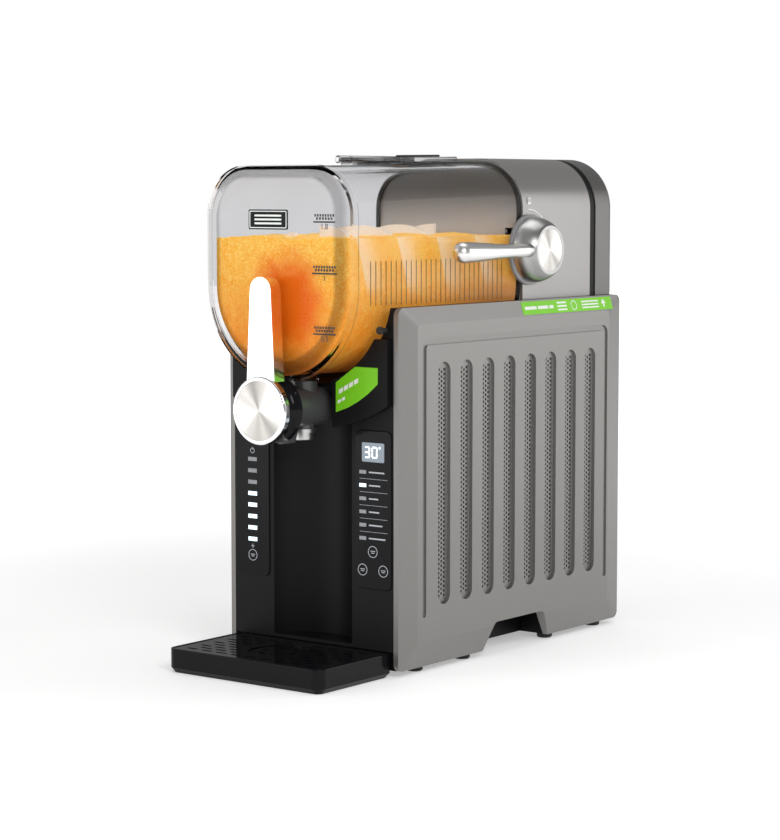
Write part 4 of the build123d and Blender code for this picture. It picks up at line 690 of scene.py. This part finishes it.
def vent_shade_sheet(side_name, side):
    """Thin black sheet just inside a vent, put there as painted shade behind the holes."""
    low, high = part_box(f"vent_mesh_{side_name}")
    inner_x = low[0] if side > 0 else high[0]
    x = inner_x - side * 0.5 * MM
    outline = box_points(high[1] - low[1], high[2] - low[2], ((low[1] + high[1]) / 2, (low[2] + high[2]) / 2))

    def build(work):
        plate(work, outline, (x, 0, 0), (0, 1, 0), (0, 0, 1), 0.3 * MM)

    piece(f"vent_shade_sheet_{side_name}", finish_bmesh("vent_shade", build), RUBBER, "base", 0)


vent_shade_sheet("right", 1)
vent_shade_sheet("left", -1)


# ---- slush -------------------------------------------------------------------
WINDOW_INNER_HALF_W = 60.5 * MM
SHOULDER_Y = SLUSH_LOW[1] + 5.2 * MM


def slush_half_width(y):
    """Half-width of the vessel's inside, less a hair, at a depth."""
    if y < SHOULDER_Y:
        share = (y - SLUSH_LOW[1]) / (SHOULDER_Y - SLUSH_LOW[1])
        return WINDOW_INNER_HALF_W + (67.6 * MM - WINDOW_INNER_HALF_W) * share
    share = (y - SHOULDER_Y) / (SLUSH_HIGH[1] - SHOULDER_Y)
    return 67.6 * MM + (SLUSH_HIGH[0] - 67.6 * MM) * share


def slush_body():
    """Packed drink: follows the vessel's wall below, a loose mounded surface above."""
    stations = [SLUSH_LOW[1] + 0.3 * MM, SLUSH_LOW[1] + 2 * MM, SHOULDER_Y]
    steps = 60
    stations += [SHOULDER_Y + (SLUSH_HIGH[1] - SHOULDER_Y) * (step + 1) / steps for step in range(steps)]
    arc_steps, side_steps, top_steps = 40, 8, 44
    level = SLUSH_HIGH[2]

    def level_at(x, y):
        swell = noise.noise(Vector((x * 24, y * 20, 3.1))) * 2.6 * MM
        crumbs = noise.noise(Vector((x * 160, y * 160, 7.7))) * 1.1 * MM
        return level - 1.5 * MM + swell + crumbs

    points, rings = [], []
    for y in stations:
        half = slush_half_width(y)
        ring = []
        for step in range(side_steps):
            top = level_at(-half, y)
            ring.append((-half, y, top + (BELLY_Z - top) * step / side_steps))
        for step in range(arc_steps + 1):
            angle = math.pi + math.pi * step / arc_steps
            ring.append((half * math.cos(angle), y, BELLY_Z + half * math.sin(angle)))
        for step in range(1, side_steps + 1):
            top = level_at(half, y)
            ring.append((half, y, BELLY_Z + (top - BELLY_Z) * step / side_steps))
        for step in range(1, top_steps):
            x = half - 2 * half * step / top_steps
            ring.append((x, y, level_at(x, y)))
        rings.append(range(len(points), len(points) + len(ring)))
        points += ring
    faces = []
    count = len(rings[0])
    for near, far in zip(rings, rings[1:]):
        for index in range(count):
            following = (index + 1) % count
            faces.append((near[index], near[following], far[following], far[index]))
    faces.append(tuple(rings[0])[::-1])
    faces.append(tuple(rings[-1]))
    made = piece("slush", mesh_from("slush", points, faces), SLUSH, "vessel_unit", 40)
    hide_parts("slush_fill")


slush_body()

# ---- tap spring --------------------------------------------------------------
def return_spring():
    """Coil in front of the plunger's head, built at one length; on the real tap it shortens as the lever is
    pulled.
    """
    low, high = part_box("tap_spring")
    centre = middle(low, high)
    wire_r, turns, steps, sides = 0.55 * MM, 4.0, 112, 10
    coil_r = (high[0] - low[0]) / 2 - wire_r
    travel = high[1] - low[1] - 2 * wire_r
    points, faces = [], []
    for step in range(steps + 1):
        turn = 2 * math.pi * turns * step / steps
        outward = Vector((math.cos(turn), 0, math.sin(turn)))
        along = Vector((centre[0], low[1] + wire_r + travel * step / steps, centre[2])) + outward * coil_r
        for side in range(sides):
            around = 2 * math.pi * side / sides
            lengthwise = Vector((0, wire_r * math.sin(around), 0))
            points.append(along + outward * wire_r * math.cos(around) + lengthwise)
    for step in range(steps):
        for side in range(sides):
            near, beside = step * sides + side, step * sides + (side + 1) % sides
            faces.append((near, beside, beside + sides, near + sides))
    faces.append(tuple(range(sides))[::-1])
    faces.append(tuple(range(steps * sides, (steps + 1) * sides)))
    mesh = mesh_from("return_spring", points, faces)
    coil = piece("return_spring", mesh, STEEL, "vessel_unit", 50)
    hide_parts("tap_spring")
    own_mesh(coil)


return_spring()


# ---- vessel: ribs, fill marks and badge --------------------------------------
RIB_COUNT, RIB_PITCH, RIB_FIRST_Y = 28, 6.3 * MM, -176 * MM
RIB_BOTTOM, RIB_TOP = 289 * MM, 323 * MM


def wall_half_width(y):
    """Half-width of the vessel's outside behind its flange."""
    front_y, front_half = -191.5 * MM, 71.5 * MM
    return front_half + (VESSEL_HIGH[0] - front_half) * (y - front_y) / (VESSEL_HIGH[1] - front_y)


def wall_ribs():
    """Fine upright ribs low on both side walls."""

    def build(work):
        for side in (-1, 1):
            for index in range(RIB_COUNT):
                y = RIB_FIRST_Y + index * RIB_PITCH
                x = side * (wall_half_width(y) + 0.02 * MM)
                rib_centre = (y, (RIB_TOP + RIB_BOTTOM) / 2)
                outline = box_points(0.9 * MM, RIB_TOP - RIB_BOTTOM, rib_centre, 0.4 * MM, 2)
                if side > 0:
                    plate(work, outline, (x, 0, 0), (0, 1, 0), (0, 0, 1), 0.25 * MM)
                else:
                    plate(work, [(-a, b) for a, b in outline], (x, 0, 0), (0, -1, 0), (0, 0, 1), 0.25 * MM)

    piece("vessel_wall_ribs", finish_bmesh("ribs", build), SMOKE_DARK, "vessel_unit")


wall_ribs()

WINDOW_Y = VESSEL_LOW[1]
FACE_AXES = ((1, 0, 0), (0, 0, 1))
INK_T = 0.12 * MM


def front_plates(name, outlines, material, body, y, thick=INK_T):
    """Thin flat pieces on a face that looks towards the user."""

    def build(work):
        for outline in outlines:
            plate(work, outline, (0, y, 0), *FACE_AXES, thick)

    return piece(name, finish_bmesh(name, build), material, body, 0)


def numerals(name, words, centre, height, material, body):
    """Numbers as a flat mesh, upright and facing the user."""
    curve = bpy.data.curves.new(name, "FONT")
    curve.body = words
    curve.size = height
    curve.align_x = "CENTER"
    curve.align_y = "CENTER"
    curve.extrude = INK_T / 2
    holder = bpy.data.objects.new(name + "_outline", curve)
    bpy.context.scene.collection.objects.link(holder)
    mesh = bpy.data.meshes.new_from_object(holder.evaluated_get(bpy.context.evaluated_depsgraph_get()))
    bpy.data.objects.remove(holder)
    upright = Matrix.Rotation(math.radians(90), 4, "X")
    mesh.transform(Matrix.Translation(centre) @ upright)
    return piece(name, mesh, material, body, 0)


def dashed_words(centre_x, z, length, height):
    """Plain dashes in the place of a short printed word."""
    count = max(3, round(length / (2.6 * MM)))
    step = length / count
    first = centre_x - length / 2 + step / 2
    return [box_points(step * 0.62, height, (first + step * index, z)) for index in range(count)]


def fill_marks():
    """Three fill lines with their numbers on the front window."""
    line_x = 49.0 * MM
    marks = (("1.8", 353 * MM, 21 * MM), ("1", 314 * MM, 24 * MM), ("0.5", 268 * MM, 22 * MM))
    lines = [box_points(width, 1.2 * MM, (line_x, z), 0.0) for _, z, width in marks]
    for _, z, width in marks:
        for lift, length in ((2.6 * MM, 0.8 * width), (5.0 * MM, 0.95 * width)):
            lines += dashed_words(line_x, z + lift, length, 1.9 * MM)
    front_plates("fill_lines", lines, DARK_INK, "vessel_unit", WINDOW_Y - 0.02 * MM)
    for words, z, _ in marks:
        name = f"fill_number_{words.replace('.', '_')}"
        spot = (line_x, WINDOW_Y - 0.08 * MM, z - 3.6 * MM)
        numerals(name, words, spot, 6.0 * MM, DARK_INK, "vessel_unit")


fill_marks()


def badge():
    """Black badge with a raised bright border and three plain bars."""
    centre = (-6 * MM, 354.5 * MM)
    plaque = box_points(39 * MM, 15.3 * MM, centre, 1.2 * MM)
    front_plates("badge", [plaque], GLOSS_BLACK, "vessel_unit", WINDOW_Y - 0.02 * MM, 0.7 * MM)
    border = box_points(37 * MM, 13.3 * MM, centre, 1 * MM), box_points(35.6 * MM, 11.9 * MM, centre, 0.6 * MM)
    trim_at = (0, WINDOW_Y - 0.72 * MM, 0)

    def build(work):
        ring_plate(work, *border, trim_at, *FACE_AXES, 0.15 * MM)
        for row in (-1, 0, 1):
            bar = box_points(27 * MM, 1.5 * MM, (centre[0], centre[1] + row * 3.0 * MM), 0.6 * MM, 3)
            plate(work, bar, trim_at, *FACE_AXES, 0.15 * MM)

    piece("badge_trim", finish_bmesh("badge_trim", build), WHITE_INK, "vessel_unit", 0)


badge()


# ---- touch panels ------------------------------------------------------------
TOUCH_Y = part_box("control_panel_right")[0][1]
SEGMENTS = {"3": "abgcd", "0": "abcdef"}


def segment_outlines(digit, centre, width, height, bar):
    """Bars of one seven-segment digit."""
    half_w, half_h = width / 2, height / 2
    places = {
        "a": (0, half_h, True), "g": (0, 0, True), "d": (0, -half_h, True), "b": (half_w, half_h / 2, False),
        "c": (half_w, -half_h / 2, False), "f": (-half_w, half_h / 2, False),
        "e": (-half_w, -half_h / 2, False),
    }
    outlines = []
    for name in SEGMENTS[digit]:
        x, z, flat = places[name]
        size = (width - bar * 0.3, bar) if flat else (bar, half_h - bar * 0.3)
        outlines.append(box_points(*size, (centre[0] + x, centre[1] + z), bar * 0.35, 3))
    return outlines


def touch_display():
    face_y = DISPLAY_LOW[1] - 0.02 * MM
    centre = middle(DISPLAY_LOW, DISPLAY_HIGH)
    outlines = []
    for digit, shift in (("3", -5.6 * MM), ("0", 1.6 * MM)):
        outlines += segment_outlines(digit, (centre[0] + shift, centre[2]), 4.4 * MM, 8.0 * MM, 1.3 * MM)
    outlines.append(circle_points(1.0 * MM, 16, (centre[0] + 6.6 * MM, centre[2] + 3.9 * MM)))
    front_plates("display_digits", outlines, DIGIT_LIGHT, "base", face_y, 0.15 * MM)


touch_display()


def touch_marks():
    """Key rings, their small signs, and plain dashes where a panel carries words."""
    face_y = TOUCH_Y - 0.02 * MM
    left_x = -60.9 * MM
    keys = [(left_x, 84.2 * MM), (61.2 * MM, 97.4 * MM), (51.2 * MM, 82.8 * MM), (71.4 * MM, 83.0 * MM)]

    def rings(work):
        for key in keys:
            edges = circle_points(4.6 * MM, 40, key), circle_points(4.1 * MM, 40, key)
            ring_plate(work, *edges, (0, face_y, 0), *FACE_AXES, INK_T)
        # power sign above the lights
        sign = (left_x, 168.8 * MM)
        edges = circle_points(2.2 * MM, 24, sign), circle_points(1.7 * MM, 24, sign)
        ring_plate(work, *edges, (0, face_y, 0), *FACE_AXES, INK_T)

    piece("key_rings", finish_bmesh("key_rings", rings), ICON_LIGHT, "base", 0)
    dashes = [
        box_points(0.5 * MM, 2.2 * MM, (left_x, 170.6 * MM)), box_points(0.5 * MM, 3.4 * MM, (left_x, 91.6 * MM)),
        box_points(3.4 * MM, 0.5 * MM, (left_x, 91.6 * MM)),
    ]
    for x, z in keys:
        dashes.append(box_points(4.6 * MM, 0.6 * MM, (x, z + 0.5 * MM)))
        dashes.append(box_points(3.0 * MM, 0.6 * MM, (x, z - 0.9 * MM)))
    for row in range(6):
        z = 159.4 * MM - row * 10.34 * MM
        width = (15, 11, 9, 10, 13, 16)[row] * MM
        dashes.append(box_points(width, 1.1 * MM, (57.5 * MM + width / 2, z)))
        if row < 5:
            dashes.append(box_points(27 * MM, 0.25 * MM, (62 * MM, z - 5.2 * MM)))
    front_plates("panel_marks", dashes, ICON_LIGHT, "base", face_y)


touch_marks()


# ---- labels ------------------------------------------------------------------
def catch_label():
    """Green label on the right wing of the catch, with a plain arrow and lines."""
    face_y = CATCH_FRONT_Y - 0.02 * MM
    low_arc = [(69, 228.5), (60, 220.8), (50, 214.2), (40, 209.0), (28, 204.8)]
    outline = [(28, 228), (47, 241), (69, 241)] + low_arc
    flat = [(a * MM, b * MM) for a, b in outline][::-1]
    front_plates("catch_label", [flat], GREEN_FILM, "catch", face_y, 0.15 * MM)
    strokes = []
    blocks = (
        (31, 219.0, 4, 3.6), (36, 221.6, 4, 3.6), (41, 224.2, 4, 3.6), (46, 226.8, 4, 3.6),
        (30, 211.5, 3, 2.4), (34, 213.6, 3, 2.4),
    )
    for start, rise, length, tall in blocks:
        end, end_rise = start + length, rise + length * 0.52
        corners = ((start, rise), (end, end_rise), (end, end_rise + tall), (start, rise + tall))
        strokes.append([(a * MM, b * MM) for a, b in corners])
    front_plates("catch_label_print", strokes, WHITE_INK, "catch", face_y - 0.16 * MM, 0.05 * MM)


catch_label()


def side_label():
    """Green strip on the right panel's top bevel, with plain printed bars and an arrow."""
    bevel_top, bevel_bottom = Vector((85.0, 0, 287.0)) * MM, Vector((89.0, 0, 274.0)) * MM
    up = (bevel_top - bevel_bottom).normalized()
    across = Vector((0, 1, 0))
    normal = across.cross(up)
    centre = (bevel_top + bevel_bottom) / 2 + normal * 0.05 * MM + across * 74 * MM

    def film(work):
        plate(work, box_points(136 * MM, 11.0 * MM, (0, 0), 0.6 * MM, 2), centre, across, up, 0.2 * MM)

    piece("side_label", finish_bmesh("side_label", film), GREEN_FILM, "base", 0)
    above = centre + normal * 0.21 * MM

    def print_bars(work):
        for start, length in ((-64, 17), (-45, 15), (-28, 6)):
            bar = box_points(length * MM, 2.6 * MM, ((start + length / 2) * MM, 0))
            plate(work, bar, above, across, up, 0.06 * MM)
        for row in (-1, 0, 1):
            short_line = box_points(14 * MM, 1.4 * MM, (-9 * MM, row * 3.0 * MM))
            long_line = box_points(26 * MM, 1.2 * MM, (34 * MM, row * 2.6 * MM))
            plate(work, short_line, above, across, up, 0.06 * MM)
            plate(work, long_line, above, across, up, 0.06 * MM)
        arrow = [(54, -3), (56, -3), (56, 0), (58.5, 0), (55, 4), (51.5, 0), (54, 0)]
        plate(work, [(a * MM, b * MM) for a, b in arrow], above, across, up, 0.06 * MM)
        edges = circle_points(4.2 * MM, 32, (9 * MM, 0)), circle_points(3.5 * MM, 32, (9 * MM, 0))
        ring_plate(work, *edges, above, across, up, 0.06 * MM)

    piece("side_label_print", finish_bmesh("side_label_print", print_bars), WHITE_INK, "base", 0)


side_label()


def lock_signs():
    """Pointer, arc and a padlock sign printed round the lock knob."""
    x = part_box("motor_housing")[1][0] + 0.02 * MM
    centre = middle(RING_LOW, RING_HIGH)
    ring_r = (RING_HIGH[2] - RING_LOW[2]) / 2

    def build(work):
        arc_r = ring_r + 4.5 * MM
        inner, outer = [], []
        for step in range(15):
            angle = math.radians(62 + 28 - step * 4.2)
            direction = (math.cos(angle), math.sin(angle))
            outer.append((centre[1] + direction[0] * arc_r, centre[2] + direction[1] * arc_r))
            inner_r = arc_r - 0.7 * MM
            inner.append((centre[1] + direction[0] * inner_r, centre[2] + direction[1] * inner_r))
        for index in range(14):
            quad = [outer[index], outer[index + 1], inner[index + 1], inner[index]]
            plate(work, quad[::-1], (x, 0, 0), (0, 1, 0), (0, 0, 1), 0.08 * MM)
        top = (centre[1] + 1 * MM, centre[2] + ring_r + 10 * MM)
        lock_body = box_points(4.4 * MM, 3.6 * MM, top, 0.4 * MM, 2)
        plate(work, lock_body, (x, 0, 0), (0, 1, 0), (0, 0, 1), 0.08 * MM)
        shackle = (top[0], top[1] + 2.0 * MM)
        edges = circle_points(1.9 * MM, 20, shackle), circle_points(1.3 * MM, 20, shackle)
        ring_plate(work, *edges, (x, 0, 0), (0, 1, 0), (0, 0, 1), 0.08 * MM)

    piece("lock_signs", finish_bmesh("lock_signs", build), WHITE_INK, "base", 0)

    def pointer(work):
        tip = centre[2] + ring_r - 1.8 * MM
        foot = tip - 4 * MM
        triangle = [(centre[1] - 2.4 * MM, foot), (centre[1] + 2.4 * MM, foot), (centre[1], tip)]
        plate(work, triangle, (RING_HIGH[0] + 0.02 * MM, 0, 0), (0, 1, 0), (0, 0, 1), 0.08 * MM)

    piece("lock_pointer", finish_bmesh("lock_pointer", pointer), WHITE_INK, "base", 0)


lock_signs()


# ---- floor, light and camera -------------------------------------------------
def floor():
    paint = Paint("pale_floor")
    cloud = paint.noise(3.0, 2.0)
    tone = paint.mix((0.90, 0.90, 0.90), (0.93, 0.93, 0.93), cloud)
    x, y, _ = paint.axes()
    away = ((x * x + y * y) ** 0.5).ease(0.35, 1.5)
    # painted light: the floor glows, weaker near the machine and full white further away
    glow = paint.mix((0.39, 0.39, 0.39), (1.0, 1.0, 1.0), away)
    material = paint.surface(Base_Color=tone, Roughness=0.7, Emission_Color=glow, Emission_Strength=1.0)
    half = 6.0
    corners = [(-half, -half, 0), (half, -half, 0), (half, half, 0), (-half, half, 0)]
    made = bpy.data.objects.new("floor", mesh_from("floor", corners, [(0, 1, 2, 3)]))
    bpy.context.scene.collection.objects.link(made)
    made.data.materials.append(material)


floor()

SURROUND_SEEN, SURROUND_LIGHT = 1.0, 0.32


def surroundings():
    """White all round: full white where it is looked at, gentler as a source of light."""
    world = bpy.data.worlds.new("studio")
    bpy.context.scene.world = world
    world.use_nodes = True
    tree = world.node_tree
    background = tree.nodes["Background"]
    background.inputs["Color"].default_value = (1.0, 1.0, 1.0, 1.0)
    rays = tree.nodes.new("ShaderNodeLightPath")
    seen = tree.nodes.new("ShaderNodeMath")
    seen.operation = "MAXIMUM"
    strength = tree.nodes.new("ShaderNodeMapRange")
    strength.inputs["To Min"].default_value = SURROUND_LIGHT
    strength.inputs["To Max"].default_value = SURROUND_SEEN
    tree.links.new(rays.outputs["Is Camera Ray"], seen.inputs[0])
    tree.links.new(rays.outputs["Is Transmission Ray"], seen.inputs[1])
    tree.links.new(seen.outputs["Value"], strength.inputs["Value"])
    tree.links.new(strength.outputs["Result"], background.inputs["Strength"])


def soft_panel(name, spot, target, size, power):
    """Square panel of light at a spot, aimed at a target."""
    light = bpy.data.lights.new(name, "AREA")
    light.shape = "SQUARE"
    light.size = size
    light.energy = power
    lamp = bpy.data.objects.new(name, light)
    lamp.location = spot
    lamp.rotation_euler = (Vector(target) - Vector(spot)).to_track_quat("-Z", "Y").to_euler()
    bpy.context.scene.collection.objects.link(lamp)


def studio():
    surroundings()
    soft_panel("front_light", (-1.6, -2.1, 0.9), (0, -0.1, 0.22), 1.8, 15.0)
    soft_panel("right_light", (0.95, -0.75, 0.85), (0.09, -0.10, 0.27), 0.5, 6.0)
    soft_panel("rear_right_light", (1.35, 1.45, 0.62), (0.08, 0.0, 0.3), 0.9, 7.0)
    soft_panel("top_light", (0.0, 0.3, 2.0), (0, 0, 0.3), 1.2, 7.0)
    bpy.context.scene.view_settings.view_transform = "Standard"


studio()


def camera():
    """Long lens, right of the machine's front and a little above it."""
    view = bpy.data.cameras.new("camera")
    view.lens = 105.71
    view.sensor_width = 36.0
    view.clip_end = 60.0
    holder = bpy.data.objects.new("camera", view)
    azimuth, pitch = math.radians(37.324), math.radians(5.374)
    holder.location = (1.2212, -1.6591, 0.3786)
    holder.rotation_euler = (math.radians(90) - pitch, 0.0, azimuth)
    bpy.context.scene.collection.objects.link(holder)
    bpy.context.scene.camera = holder


camera()
